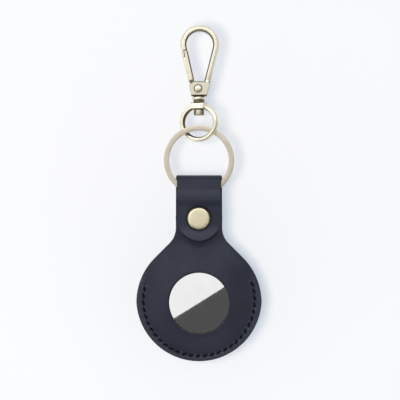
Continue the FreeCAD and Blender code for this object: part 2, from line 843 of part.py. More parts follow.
def make_snap_socket():
    """Socket under the tongue, with a groove for its ring spring."""
    body = new_body("snap_socket", z=snap_centre)
    hole = size("cap_post_radius") + size("set_clearance")
    radius = size("socket_radius")
    bore = size("socket_bore_radius")
    half = size("spring_wire_radius") + size("running_clearance")
    deep = bore + size("socket_groove")
    turned(body, "XY_Plane", [
        (hole, tongue_rear), (radius, tongue_rear), (radius, socket_mouth), (bore, socket_mouth),
        (bore, groove_middle + half), (deep, groove_middle + half), (deep, groove_middle - half),
        (bore, groove_middle - half), (bore, socket_floor), (hole, socket_floor),
    ])


def y_torus(label, ring_radius, wire_radius, y, z, sweep):
    """A ring of round wire about the Y axis."""
    ring = doc.addObject("Part::Torus", label)
    bind(ring, Radius1=ring_radius, Radius2=wire_radius)
    ring.Angle3 = sweep
    ring.Placement = FreeCAD.Placement(FreeCAD.Vector(), FreeCAD.Rotation(FreeCAD.Vector(1, 0, 0), 90))
    place(ring, y=y, z=z)
    return finished(ring)


def make_snap_spring():
    """Split ring spring in the socket's groove."""
    y_torus(
        "snap_spring", size("socket_bore_radius"), size("spring_wire_radius"), groove_middle, snap_centre,
        SNAP_SPRING_SWEEP,
    )


def make_snap_stud():
    """Stud on the front of the neck, which the socket closes on."""
    body = new_body("snap_stud", z=snap_centre)
    hole = size("post_radius") + size("set_clearance")
    base = size("stud_base_radius")
    neck = size("stud_neck_radius")
    knob = size("stud_radius")
    knob_rear = stud_tip + size("stud_head")
    turned(body, "XY_Plane", [
        (hole, neck_front), (base, neck_front), (base, stud_front), (neck, stud_front),
        (neck, knob_rear), (knob, knob_rear), (knob, stud_tip), (ZERO, stud_tip),
        (ZERO, stud_tip + size("stud_wall")), (hole, stud_tip + size("stud_wall")),
    ])


def make_snap_post():
    """Post that sets the stud, with its flange let into the back of the neck."""
    body = new_body("snap_post", z=snap_centre)
    flange = size("post_flange_radius")
    post = size("post_radius")
    flange_front = seam_plane - size("post_flange_height")
    end = stud_tip + size("stud_wall") + size("set_clearance")
    turned(body, "XY_Plane", [
        (ZERO, end), (post, end), (post, flange_front), (flange, flange_front), (flange, seam_plane),
        (ZERO, seam_plane),
    ])


# Sizes inside the tag, about its centre
tag_half = size("tag_thickness") / 2
tag_rim = tag_half - size("tag_rim_drop")
lip_radius = cover_radius + size("cover_clearance")
lip_rear = size("tag_lip") - tag_rim
seal_side = lip_radius + 2 * size("seal_radius") + size("cover_clearance")
skirt_rear = size("cover_skirt") - tag_rim
cell_front = size("cover_thickness") + size("cell_clearance") - tag_half
cell_rear = cell_front + size("cell_thickness")
floor_front = cell_rear + size("contact_thickness") + 2 * size("contact_clearance")
floor_rear = floor_front + size("frame_floor")
shell_inside = tag_half - size("tag_wall")


def tag_body(label):
    """A body about the tag's centre."""
    return new_body(label, y=seam_plane, z=tag_centre)


def make_tag_shell():
    """Plastic housing of the tag, open at the front for the cover."""
    body = tag_body("tag_shell")
    radius = size("tag_radius")
    wall = size("tag_wall")
    side = radius - wall
    shoulder = radius - tag_half
    turned(body, "XY_Plane", [
        (ZERO, tag_half), (ZERO, shell_inside), (shoulder, tag_rim - wall), (side, ZERO),
        (side, skirt_rear), (seal_side, skirt_rear), (seal_side, lip_rear), (lip_radius, lip_rear),
        (lip_radius, -tag_rim), (radius, ZERO), (shoulder, tag_rim),
    ], {2: (shell_inside, -1), 8: (tag_half, 1), 9: (tag_half, 1)})


def make_tag_cover():
    """Pressed steel cover of the tag, slightly crowned, with a skirt."""
    body = tag_body("tag_cover")
    radius = cover_radius
    drop = size("tag_rim_drop")
    thick = size("cover_thickness")
    crown = (radius * radius + drop * drop) / (2 * drop)
    turned(body, "XY_Plane", [
        (ZERO, -tag_half), (radius, -tag_rim), (radius, skirt_rear), (radius - thick, skirt_rear),
        (radius - thick, thick - tag_rim), (ZERO, thick - tag_half),
    ], {0: (crown, 1)})


def make_tag_inside():
    """Seal, cell, contacts, frame, board and sounder inside the tag."""
    seal_y = lip_rear + size("seal_radius") + size("running_clearance")
    seal_middle = (lip_radius + seal_side) / 2
    y_torus("cover_seal", seal_middle, size("seal_radius"), seam_plane + seal_y, tag_centre, FULL_TURN)

    def plain_ring(label, inner, outer, front, rear):
        turned(tag_body(label), "XY_Plane", [(inner, front), (outer, front), (outer, rear), (inner, rear)])

    plain_ring("coin_cell", ZERO, cell_radius, cell_front, cell_rear)
    frame_radius = size("tag_radius") - size("tag_wall") - size("board_edge")
    wall_in = cell_radius + size("pocket_clearance")
    wall_out = wall_in + size("frame_wall")
    wall_front = floor_front - size("frame_wall_height")
    turned(tag_body("inner_frame"), "XY_Plane", [
        (ZERO, floor_front), (wall_in, floor_front), (wall_in, wall_front), (wall_out, wall_front),
        (wall_out, floor_front), (frame_radius, floor_front), (frame_radius, floor_rear),
        (ZERO, floor_rear),
    ])
    board_radius = frame_radius - size("board_edge")
    board_rear = floor_rear + size("board_thickness")
    plain_ring("circuit_board", board_hole_radius, board_radius, floor_rear, board_rear)
    plain_ring("speaker_magnet", ZERO, magnet_radius, floor_rear, floor_rear + size("magnet_height"))
    coil_rear = shell_inside - size("coil_clearance")
    coil_in = coil_radius - size("coil_wall")
    plain_ring("speaker_coil", coil_in, coil_radius, coil_rear - size("coil_height"), coil_rear)


def make_battery_contacts():
    """Three leaf contacts on the frame's floor, under the cell."""
    leaves = []
    for index in range(CONTACT_COUNT):
        angle = as_size(FULL_TURN * index / CONTACT_COUNT)
        leaf = doc.addObject("Part::Box", "contact_%d" % index)
        bind(
            leaf, Length=size("contact_length"), Width=size("contact_thickness"), Height=size("contact_width")
        )
        reach = cell_radius - size("contact_inset")
        place(
            leaf,
            reach * cosine(angle) - size("contact_length") / 2,
            seam_plane + cell_rear + size("contact_clearance"),
            tag_centre + reach * sine(angle) - size("contact_width") / 2,
        )
        leaves.append(leaf)
    contacts = doc.addObject("Part::Compound", "battery_contacts")
    contacts.Links = leaves
    finished(contacts)


def check(things):
    """Stops if an object failed, or a sub-part has no sound solid."""
    faults = ["%s failed" % o.Name for o in doc.Objects if {"Invalid", "Error"} & set(o.State)]
    for thing in things:
        shape = thing.Shape
        if shape.isNull() or not shape.isValid() or not shape.Solids:
            faults.append("%s has no sound solid" % thing.Label)
    if faults:
        raise RuntimeError(", ".join(faults))


make_hook_body()
make_gate()
make_gate_pin()
make_gate_spring()
make_swivel_post()
make_swivel_eye()
make_key_ring()
make_front_panel()
make_back_panel()
make_strap_fold()
make_strap_tongue()
make_seam_thread("seam_thread_front", rearward=False)
make_seam_thread("seam_thread_back", rearward=True)
make_snap_cap()
make_snap_socket()
make_snap_spring()
make_snap_stud()
make_snap_post()
make_tag_shell()
make_tag_cover()
make_tag_inside()
make_battery_contacts()
doc.recompute()
check(subparts)

os.makedirs("parts", exist_ok=True)
for subpart in subparts:
    subpart.Shape.exportStep("parts/%s.step" % subpart.Label)
    print("%s: %d solid(s), %.1f mm3" % (subpart.Label, len(subpart.Shape.Solids), subpart.Shape.Volume))
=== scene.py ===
from math import atan2, cos, degrees, dist, exp, hypot, pi, radians, sin, sqrt, tan, tau

import bmesh
import bpy
from mathutils import Matrix, Vector, noise


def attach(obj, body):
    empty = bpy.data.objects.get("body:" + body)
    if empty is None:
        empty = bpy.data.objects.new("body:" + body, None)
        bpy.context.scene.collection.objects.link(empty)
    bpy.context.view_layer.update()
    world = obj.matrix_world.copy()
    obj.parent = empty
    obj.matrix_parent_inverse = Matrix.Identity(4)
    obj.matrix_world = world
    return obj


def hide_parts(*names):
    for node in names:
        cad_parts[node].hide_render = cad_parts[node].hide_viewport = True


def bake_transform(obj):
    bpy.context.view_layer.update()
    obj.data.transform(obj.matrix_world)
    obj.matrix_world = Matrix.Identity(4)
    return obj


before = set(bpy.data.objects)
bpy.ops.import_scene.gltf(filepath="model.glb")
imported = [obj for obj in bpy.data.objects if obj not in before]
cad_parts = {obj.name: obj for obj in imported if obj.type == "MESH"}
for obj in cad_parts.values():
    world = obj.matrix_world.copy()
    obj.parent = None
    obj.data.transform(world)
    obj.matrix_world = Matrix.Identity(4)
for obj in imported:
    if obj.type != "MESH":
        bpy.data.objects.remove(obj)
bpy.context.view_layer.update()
scene = bpy.context.scene

# Sizes from the part's source, in millimetres in the row frame
MM = 0.001
LEATHER = 1.6
TAG_Z = -109.6
SNAP_Z = -75.7
FOLD_Z = -61.9
RING_Z = -52.3
EYE_Z = -37.125
BASE_BOTTOM = -26.5
SEAM_Y = 2.0
NECK_FRONT = 0.4
FOLD_INNER = 2.0
STRAP_HALF = 9.35
STRAP_HALF_AT_FOLD = 8.8
PANEL_RADIUS = 25.3
PANEL_BOTTOM = 23.8
NECK_FILLET = 9.1
WINDOW_RADIUS = 12.36
POCKET_EDGE = 20.9
BACK_FLAT = 12.0
SEAM_RADIUS = 22.5
SEAM_LIFT = 0.8
SEAM_SPAN = 216.0
SEAM_TURN = 2.5
SEAM_STITCHES = 30


# Lines and outlines

def line(start, end, step):
    """Points from start towards end, without the end."""
    count = max(1, round(dist(start, end) / step))
    return [tuple(a + (b - a) * i / count for a, b in zip(start, end)) for i in range(count)]


def arc(centre, radius, start, end, step):
    """Points on an arc between two angles in degrees, without the last."""
    count = max(1, round(radius * radians(abs(end - start)) / step))
    angles = [radians(start + (end - start) * i / count) for i in range(count)]
    return [(centre[0] + radius * cos(a), centre[1] + radius * sin(a)) for a in angles]


def rectangle(low, high):
    """Corners of a rectangle between its lowest and its highest."""
    return [low, (high[0], low[1]), high, (low[0], high[1])]


def rounded(points, radius, steps=4, closed=False):
    """A line through the points with rounded corners, tighter where its sides are short."""
    made = []
    last = len(points) - 1
    for i, corner in enumerate(points):
        if not closed and i in (0, last):
            made.append(tuple(corner))
            continue
        here = Vector(corner)
        before = Vector(points[i - 1])
        after = Vector(points[(i + 1) % len(points)])
        reach = min(radius, 0.45 * (before - here).length, 0.45 * (after - here).length)
        first = here + (before - here).normalized() * reach
        second = here + (after - here).normalized() * reach
        for k in range(steps + 1):
            t = k / steps
            bend = first * (1 - t) ** 2 + here * (2 * t * (1 - t)) + second * t ** 2
            made.append(tuple(bend))
    return made


def eased(t):
    """A smooth step from 0 to 1."""
    t = min(max(t, 0.0), 1.0)
    return t * t * (3 - 2 * t)


def bell(x, middle, width):
    """A smooth hump of height 1 about a middle."""
    return exp(-(((x - middle) / width) ** 2))


def table_value(x, table):
    """The value at x on a smooth line through a table's points, in falling order of x."""
    if x >= table[0][0]:
        return table[0][1]
    for (x0, y0), (x1, y1) in zip(table, table[1:]):
        if x >= x1:
            return y0 + (y1 - y0) * eased((x0 - x) / (x0 - x1))
    return table[-1][1]


# Meshes

def point(x, y, z):
    """A place in the row frame, from millimetres to metres."""
    return Vector((x, y, z)) * MM


def next_loop(bm, loop, places):
    """A closed line of vertices at places, extruded from the line before it if there is one."""
    if not loop:
        loop = [bm.verts.new(place) for place in places]
        for a, b in zip(loop, loop[1:] + loop[:1]):
            bm.edges.new((a, b))
        return loop
    edges = [bm.edges.get((a, b)) for a, b in zip(loop, loop[1:] + loop[:1])]
    made = set(bmesh.ops.extrude_edge_only(bm, edges=edges)["geom"])
    moved = []
    for vert, place in zip(loop, places):
        new = next(e.other_vert(vert) for e in vert.link_edges if e.other_vert(vert) in made)
        new.co = place
        moved.append(new)
    return moved


def merge(bm):
    """Joins vertices that share a place."""
    bmesh.ops.remove_doubles(bm, verts=bm.verts, dist=0.002 * MM)


def new_object(name, bm):
    """An object of the scene from a mesh."""
    mesh = bpy.data.meshes.new(name)
    bm.to_mesh(mesh)
    bm.free()
    made = bpy.data.objects.new(name, mesh)
    scene.collection.objects.link(made)
    return made


def finish_piece(name, bm, body, material, nodes, smooth=40):
    """Makes a piece from the mesh and lets it ride on its body in place of its nodes."""
    bmesh.ops.recalc_face_normals(bm, faces=bm.faces)
    piece = new_object(name, bm)
    piece.data.materials.append(material)
    reshade(piece, smooth)
    if nodes:
        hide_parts(*nodes)
    if body:
        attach(piece, body)
    return piece


def reshade(piece, angle=35):
    """Smooth shading that keeps edges over an angle sharp."""
    piece.data.shade_smooth()
    piece.data.set_sharp_from_angle(angle=radians(angle))


def flat_faced(piece, angle=50):
    """Smooth shading of rounded edges that leaves the large faces flat."""
    reshade(piece, angle)
    made = piece.modifiers.new("normals", "WEIGHTED_NORMAL")
    made.keep_sharp = True
    made.weight = 60
    baked(piece)


def lathe(profile, centre, axis="Y", steps=96):
    """Spins a profile of (radius, place along the axis) about an axis."""
    bm = bmesh.new()
    if axis == "Y":
        spots = [point(centre[0] + r, along, centre[1]) for r, along in profile]
        middle, turn = point(centre[0], 0, centre[1]), (0, 1, 0)
    else:
        spots = [point(centre[0] + r, centre[1], along) for r, along in profile]
        middle, turn = point(centre[0], centre[1], 0), (0, 0, 1)
    verts = [bm.verts.new(s) for s in spots]
    edges = [bm.edges.new(pair) for pair in zip(verts, verts[1:])]
    bmesh.ops.spin(bm, geom=verts + edges, cent=middle, axis=turn, angle=tau, steps=steps,
                   use_merge=True)
    merge(bm)
    return bm


def rod(radius, start, end, centre, axis, steps):
    """A round rod about an axis through the centre."""
    return lathe([(0.0, start), (radius, start), (radius, end), (0.0, end)], centre, axis, steps)


def prism(outline, front, back):
    """A plate of the outline in X and Z, extruded from front to back in Y."""
    bm = bmesh.new()
    face = bm.faces.new([bm.verts.new(point(x, front, z)) for x, z in outline])
    push_on(bm, face, point(0, back - front, 0))
    return bm


def round_edges(bm, edges, width, segments):
    """Rounds edges of a mesh."""
    bmesh.ops.bevel(bm, geom=edges, offset=width * MM, offset_type="OFFSET", segments=segments, profile=0.5,
                    affect="EDGES", material=-1, clamp_overlap=True)


def chamfer(bm, start, end, width):
    """Chamfers a plate's edges that run between two places of its outline."""
    def joins(edge):
        places = [(v.co.x / MM, v.co.z / MM) for v in edge.verts]
        return all(min(dist(end_place, p) for p in places) < 0.01 for end_place in (start, end))

    round_edges(bm, [e for e in bm.edges if joins(e)], width, 2)
    return bm


def end_face(bm, face, made):
    """The new end of an extruded face, whose old place is opened where the shape goes on."""
    if any(len(e.link_faces) > 2 for e in face.edges):
        bmesh.ops.delete(bm, geom=[face], context="FACES_ONLY")
    return next(f for f in made if isinstance(f, bmesh.types.BMFace))


def push_on(bm, face, move):
    """Extrudes a face by a move and gives the new end face."""
    made = bmesh.ops.extrude_face_region(bm, geom=[face])["geom"]
    bmesh.ops.translate(bm, vec=move, verts=[v for v in made if isinstance(v, bmesh.types.BMVert)])
    return end_face(bm, face, made)


def swing_on(bm, face, middle, angle, steps, rise=0.0):
    """Spins a face about a line along Y, with a rise, and gives the end face."""
    made = bmesh.ops.spin(bm, geom=[face], cent=middle, axis=(0, 1, 0), angle=angle, steps=steps,
                          dvec=point(0, rise / steps, 0))["geom_last"]
    return end_face(bm, face, made)


def store(piece, name, domain, values):
    """Stores a value for each face or vertex of a piece."""
    piece.data.attributes.new(name, "FLOAT", domain).data.foreach_set("value", values)


def store_patina_and_shade(piece, share):
    """Stores on each face how dark it is painted, from its middle in millimetres and its normal: patina in
    hollows and painted shade on sides, rims and inner faces.
    """
    values = [min(max(share(f.center / MM, f.normal), 0.0), 1.0) for f in piece.data.polygons]
    store(piece, "patina_and_shade", "FACE", values)


def baked(piece):
    """Applies a piece's modifiers to its mesh."""
    bpy.context.view_layer.update()
    graph = bpy.context.evaluated_depsgraph_get()
    mesh = bpy.data.meshes.new_from_object(piece.evaluated_get(graph))
    mesh.name = piece.name
    piece.modifiers.clear()
    piece.data = mesh
    return piece


def bevelled(piece, width, segments, angle=30):
    """Rounds a piece's edges over an angle."""
    made = piece.modifiers.new("edges", "BEVEL")
    made.width = width * MM
    made.segments = segments
    made.profile = 0.5
    made.material = -1
    made.affect = "EDGES"
    made.limit_method = "ANGLE"
    made.angle_limit = radians(angle)
    baked(piece)


def cut_away(piece, bm, operation="DIFFERENCE"):
    """Cuts a closed mesh out of a piece, or joins it on."""
    bmesh.ops.recalc_face_normals(bm, faces=bm.faces)
    cutter = new_object("cutter", bm)
    made = piece.modifiers.new("cut", "BOOLEAN")
    made.operation = operation
    made.solver = "EXACT"
    made.object = cutter
    baked(piece)
    bpy.data.objects.remove(cutter)


def fill_gaps(piece):
    """Fills slivers that a cut has left open."""
    bm = bmesh.new()
    bm.from_mesh(piece.data)
    gaps = [e for e in bm.edges if len(e.link_faces) == 1]
    bmesh.ops.holes_fill(bm, edges=gaps, sides=0)
    bmesh.ops.recalc_face_normals(bm, faces=bm.faces)
    bm.to_mesh(piece.data)
    bm.free()


def box_mesh(low, high):
    """A box between two corners in millimetres."""
    bm = bmesh.new()
    size = [b - a for a, b in zip(low, high)]
    middle = [(a + b) / 2 for a, b in zip(low, high)]
    matrix = Matrix.Translation(point(*middle)) @ Matrix.Diagonal((*[s * MM for s in size], 1.0))
    bmesh.ops.create_cube(bm, size=1.0, matrix=matrix)
    return bm


# Materials

def put(tree, socket, value):
    """Links an input to a socket, or sets it to a plain value or colour."""
    if isinstance(value, bpy.types.NodeSocket):
        tree.links.new(value, socket)
    elif socket.type == "RGBA":
        socket.default_value = (*value, 1.0)
    else:
        socket.default_value = value


def add_node(tree, kind, *inputs, **values):
    """A shader node with its settings, and with inputs in their order or by name."""
    made = tree.nodes.new("ShaderNode" + kind)
    for name, value in values.items():
        if name in made.inputs:
            put(tree, made.inputs[name], value)
        else:
            setattr(made, name, value)
    for socket, value in zip(made.inputs, inputs):
        put(tree, socket, value)
    return made


def new_material(name, **values):
    """A material, its tree and its main shader with the shader's plain inputs."""
    made = bpy.data.materials.new(name)
    made.use_nodes = True
    tree = made.node_tree
    shader = tree.nodes["Principled BSDF"]
    for socket, value in values.items():
        put(tree, shader.inputs[socket], value)
    return made, tree, shader


def dress(tree, shader, colour, rough):
    """Gives a shader its colour and roughness."""
    put(tree, shader.inputs["Base Color"], colour)
    put(tree, shader.inputs["Roughness"], rough)


def stored(tree, name):
    """A value that is stored on a piece's mesh."""
    return add_node(tree, "Attribute", attribute_name=name).outputs["Fac"]


def object_coordinates(tree, scale=(1, 1, 1), turn=(0, 0, 0)):
    """Object coordinates, scaled and turned."""
    source = add_node(tree, "TexCoord").outputs["Object"]
    return add_node(tree, "Mapping", Vector=source, Scale=scale, Rotation=turn).outputs["Vector"]


def noise_value(tree, vector, scale, detail=4.0, rough=0.55):
    """A noise texture's value at a scale per metre."""
    made = add_node(tree, "TexNoise", Vector=vector, Scale=scale, Detail=detail, Roughness=rough)
    return made.outputs["Fac"]


def remap(tree, value, low, high, to_low=0.0, to_high=1.0):
    """A value carried from one range to another."""
    return add_node(tree, "MapRange", value, low, high, to_low, to_high).outputs["Result"]


def combine(tree, operation, one, other):
    """An operation on two values, either of which may be a number."""
    return add_node(tree, "Math", one, other, operation=operation).outputs["Value"]


def mix_colours(tree, share, one, other):
    """A mix of two colours, either of which may be a socket."""
    made = add_node(tree, "Mix", data_type="RGBA", Factor=share)
    for socket, value in zip([s for s in made.inputs if s.type == "RGBA"], (one, other)):
        put(tree, socket, value)
    return next(s for s in made.outputs if s.type == "RGBA")


def bump(tree, shader, height, depth, strength=1.0):
    """Roughens a shader by a height value, with its depth in metres."""
    made = add_node(tree, "Bump", Height=height, Strength=strength, Distance=depth)
    before = shader.inputs["Normal"].links
    if before:
        put(tree, made.inputs["Normal"], before[0].from_socket)
    put(tree, shader.inputs["Normal"], made.outputs["Normal"])


NAVY = (0.0150, 0.0184, 0.0318)
NAVY_MOTTLE = (0.0240, 0.0284, 0.0455)
NAVY_CLOUD = (0.0270, 0.0310, 0.0460)
SCUFFED = (0.075, 0.080, 0.095)
EDGE_PAINT_AND_CAP_SHADOW = (0.0050, 0.0060, 0.0098)
RUBBED_AND_SHEEN = (0.0350, 0.0400, 0.0585)
HOLE_GLINT_COLOUR = (0.11, 0.115, 0.135)


def leather_material():
    """Dark navy waxed leather with mottling, scuffs and dark cut edges, and painted light: lighter rims
    that are partly rubbed and partly painted sheen, painted sheen on the strap, painted glints beside the
    needle holes and a painted shadow ring round the snap's cap.
    """
    made, tree, shader = new_material("navy_leather", **{"Specular IOR Level": 0.24})
    spot = object_coordinates(tree)
    mottle = remap(tree, noise_value(tree, spot, 55, 5), 0.35, 0.68)
    cloud = remap(tree, noise_value(tree, spot, 16, 2), 0.3, 0.7)
    tone = mix_colours(tree, mottle, NAVY, NAVY_MOTTLE)
    streak = object_coordinates(tree, (60, 60, 420), (0, radians(35), 0))
    scuff = remap(tree, noise_value(tree, streak, 1.0, 6, 0.6), 0.66, 0.80)
    patch = remap(tree, noise_value(tree, spot, 28, 3), 0.50, 0.66)
    broken = remap(tree, noise_value(tree, spot, 900, 2), 0.46, 0.62)
    layers = [
        (cloud, 0.35, NAVY_CLOUD),
        (combine(tree, "MULTIPLY", scuff, patch), 0.55, SCUFFED),
        # Dark edge paint, which also carries a painted shadow ring round the snap's cap.
        (stored(tree, "cut_edge"), 1.0, EDGE_PAINT_AND_CAP_SHADOW),
        # Lighter rims, partly rubbed leather and partly painted sheen, and painted sheen on the strap.
        (stored(tree, "rub_and_sheen"), 0.9, RUBBED_AND_SHEEN),
        # Painted glints beside the needle holes.
        (combine(tree, "MULTIPLY", stored(tree, "hole_glint"), broken), 0.8, HOLE_GLINT_COLOUR),
    ]
    for value, most, colour in layers:
        tone = mix_colours(tree, combine(tree, "MULTIPLY", value, most), tone, colour)
    dress(tree, shader, tone, remap(tree, noise_value(tree, spot, 320, 3), 0.3, 0.7, 0.40, 0.52))
    cells = add_node(tree, "TexVoronoi", feature="SMOOTH_F1", Vector=spot, Scale=1500, Smoothness=0.6)
    bump(tree, shader, cells.outputs["Distance"], 0.00006, 0.5)
    bump(tree, shader, noise_value(tree, spot, 700, 5), 0.00008, 0.45)
    return made


THREAD_DARK = (0.002, 0.0022, 0.004)
THREAD_LIGHT = (0.008, 0.009, 0.015)


def thread_material():
    """Dark waxed thread with fine fibres along its plies."""
    made, tree, shader = new_material("waxed_thread", **{"Specular IOR Level": 0.06})
    fibre = noise_value(tree, object_coordinates(tree), 5200, 3)
    tone = mix_colours(tree, remap(tree, fibre, 0.35, 0.75), THREAD_DARK, THREAD_LIGHT)
    dress(tree, shader, tone, 0.45)
    bump(tree, shader, fibre, 0.00004, 0.6)
    return made


BRASS_BRIGHT = (0.88, 0.83, 0.67)
BRASS_RING = (0.66, 0.595, 0.475)
BRASS_SNAP = (0.85, 0.77, 0.54)
BRASS_DARK = (0.105, 0.075, 0.038)


def metal_material(name, bright, rough, wear, streak, grain, grain_scale=60.0):
    """Worn metal with patches of patina and a fine grain, darkened in hollows by ambient occlusion (patina
    and painted shade) and on faces by a stored darkness that is mostly painted shade.
    """
    made, tree, shader = new_material(name, Metallic=1.0)
    spot = object_coordinates(tree)
    patina = remap(tree, noise_value(tree, spot, 160, 4, 0.55), 0.36, 0.72)
    shade = combine(tree, "MULTIPLY", patina, wear)
    along = object_coordinates(tree, grain)
    lines = noise_value(tree, along, grain_scale, 3)
    shade = combine(tree, "ADD", shade, remap(tree, lines, 0.45, 0.8, 0.0, streak))
    # Ambient occlusion darkens hollows and gaps between parts: patina and painted shade there.
    hollow = add_node(tree, "AmbientOcclusion", samples=6, only_local=True, Distance=1.1 * MM)
    crevice_patina_and_shade = remap(tree, hollow.outputs["AO"], 0.35, 0.85, 0.85, 0.0)
    shade = combine(tree, "MAXIMUM", shade, crevice_patina_and_shade)
    # Each face's stored darkness: patina in hollows and painted shade on sides, rims and inner faces.
    patina_and_shade = combine(tree, "MULTIPLY", stored(tree, "patina_and_shade"), remap(tree, lines, 0.3, 0.7, 0.85, 1.1))
    shade = combine(tree, "MAXIMUM", shade, patina_and_shade)
    gloss = remap(tree, lines, 0.3, 0.7, rough - 0.05, rough + 0.08)
    dress(tree, shader, mix_colours(tree, shade, bright, BRASS_DARK), gloss)
    bump(tree, shader, lines, 0.00001, 0.35)
    bump(tree, shader, noise_value(tree, spot, 1600, 3), 0.000012, 0.3)
    return made


def plain_material(name, colour, rough, metallic=0.0, mark=0.08, scale=300.0):
    """A plain finish with slight unevenness of colour and gloss."""
    made, tree, shader = new_material(name, Metallic=metallic)
    spot = object_coordinates(tree)
    cloud = remap(tree, noise_value(tree, spot, scale), 0.3, 0.7)
    darker = tuple(c * (1 - 2 * mark) for c in colour)
    gloss = remap(tree, noise_value(tree, spot, scale * 4), 0.3, 0.7, rough, min(rough + 0.12, 1.0))
    dress(tree, shader, mix_colours(tree, cloud, colour, darker), gloss)
    return made


STEEL_BRIGHT = (0.90, 0.90, 0.905)
STEEL_CLOUDED = (0.85, 0.85, 0.86)


def steel_material():
    """Polished steel with hair scratches and a faint clouding."""
    made, tree, shader = new_material("polished_steel", Metallic=1.0)
    cloud = remap(tree, noise_value(tree, object_coordinates(tree), 120, 4), 0.3, 0.75)
    tone = mix_colours(tree, cloud, STEEL_BRIGHT, STEEL_CLOUDED)
    hair = noise_value(tree, object_coordinates(tree, (30, 30, 900), (0, radians(20), 0)), 6.0, 2)
    dress(tree, shader, tone, remap(tree, hair, 0.5, 0.8, 0.02, 0.06))
    return made


leather = leather_material()
thread = thread_material()
cast_brass = metal_material("cast_brass", BRASS_BRIGHT, 0.27, 0.28, 0.12, (90, 90, 12))
turned_brass = metal_material("turned_brass", BRASS_BRIGHT, 0.25, 0.18, 0.12, (20, 20, 240))
wire_brass = metal_material("wire_brass", BRASS_BRIGHT, 0.26, 0.18, 0.10, (60, 60, 60))
ring_brass = metal_material("ring_brass", BRASS_RING, 0.30, 0.12, 0.10, (60, 60, 60))
snap_brass = metal_material("snap_brass", BRASS_SNAP, 0.30, 0.07, 0.06, (25, 25, 25))
steel = steel_material()


# Hook and swivel

HOOK_INNER = 5.4
HOOK_OUTER = 7.8
HOOK_HALF = 2.0
INNER_CHAMFER = 0.55
OUTER_CHAMFER = 0.80
SECTION_ROUND = 0.16
CROWN = (0.3, -5.75)
CROWN_STEPS = 90
NOSE_ANGLE = 10.0
NOSE_LENGTH = 5.2
NOSE_SHOULDER = 2.1
NOSE_LIP = 0.85
NOSE_RUN = 3.9
NOSE_ROUND = 0.2
NOSE_WEB = 0.6
NOTCH_DEPTH = 3.0
LEG_ANGLE = 14.2
LEG_RUN = 14.85
LEG_STEPS = 8
BASE_TOP = -20.6
BASE_LEFT = [(-2.2, BASE_TOP), (-4.0, BASE_TOP - 1.5), (-3.1, BASE_BOTTOM)]
BASE_SKIN = 0.03
BASE_ROUND = 0.25
LOW_CHAMFER = 0.55
TOP_CHAMFER = 0.35
PIVOT = (-0.35, -23.5)
SLOT_HALF = 1.05
SLOT_REACH = 1.95
SEAT_RADIUS = 1.74
SEAT_FLOOR = 1.80
CURVE_STEP = 0.28


def nose_side(radius, drop):
    """X of the nose's straight side at a drop below the crown's centre."""
    angle = radians(NOSE_ANGLE)
    return CROWN[0] - radius * cos(angle) + (drop - radius * sin(angle)) * tan(angle)


def leg_side(radius, z):
    """X of the leg's straight side at a height."""
    angle = radians(LEG_ANGLE)
    fall = CROWN[1] - radius * sin(angle) - z
    return CROWN[0] + radius * cos(angle) - fall * tan(angle)


def bow_mesh():
    """Bow of the hook: a section pushed up the nose, swung round the crown and down the leg."""
    h, inner, outer = HOOK_HALF, INNER_CHAMFER, OUTER_CHAMFER
    section = rounded([
        (HOOK_INNER + inner, -h), (HOOK_OUTER - outer, -h),
        (HOOK_OUTER, outer - h), (HOOK_OUTER, h - outer),
        (HOOK_OUTER - outer, h), (HOOK_INNER + inner, h),
        (HOOK_INNER, h - inner), (HOOK_INNER, inner - h),
    ], SECTION_ROUND, 3, closed=True)
    nose = radians(180 + NOSE_ANGLE)
    out = Vector((cos(nose), 0, sin(nose)))
    down = Vector((-out.z, 0, out.x))
    middle = point(CROWN[0], 0, CROWN[1])
    start = middle + down * (NOSE_RUN * MM)
    bm = bmesh.new()
    tip = bm.faces.new([bm.verts.new(start + out * (r * MM) + point(0, y, 0)) for r, y in section])
    face = push_on(bm, tip, -down * (NOSE_RUN * MM))
    sweep = radians(180 + NOSE_ANGLE + LEG_ANGLE)
    face = swing_on(bm, face, middle, sweep, CROWN_STEPS)
    leg = radians(LEG_ANGLE)
    step = Vector((-sin(leg), 0, -cos(leg))) * (LEG_RUN / LEG_STEPS * MM)
    for _ in range(LEG_STEPS):
        face = push_on(bm, face, step)
    round_edges(bm, list(tip.edges), NOSE_ROUND, 3)
    return bm


def nose_notch(gap):
    """Outline of the nose's notch for the gate's tip, kept a gap away from the nose."""
    top, low = CROWN[1] - NOSE_SHOULDER - gap, CROWN[1] - NOSE_LENGTH - 1.0
    return [
        (nose_side(HOOK_OUTER, NOSE_SHOULDER) + NOSE_LIP + gap, top), (CROWN[0], top), (CROWN[0], low),
        (nose_side(HOOK_OUTER, NOSE_LENGTH + 1.0) + NOSE_LIP + gap, low),
    ]


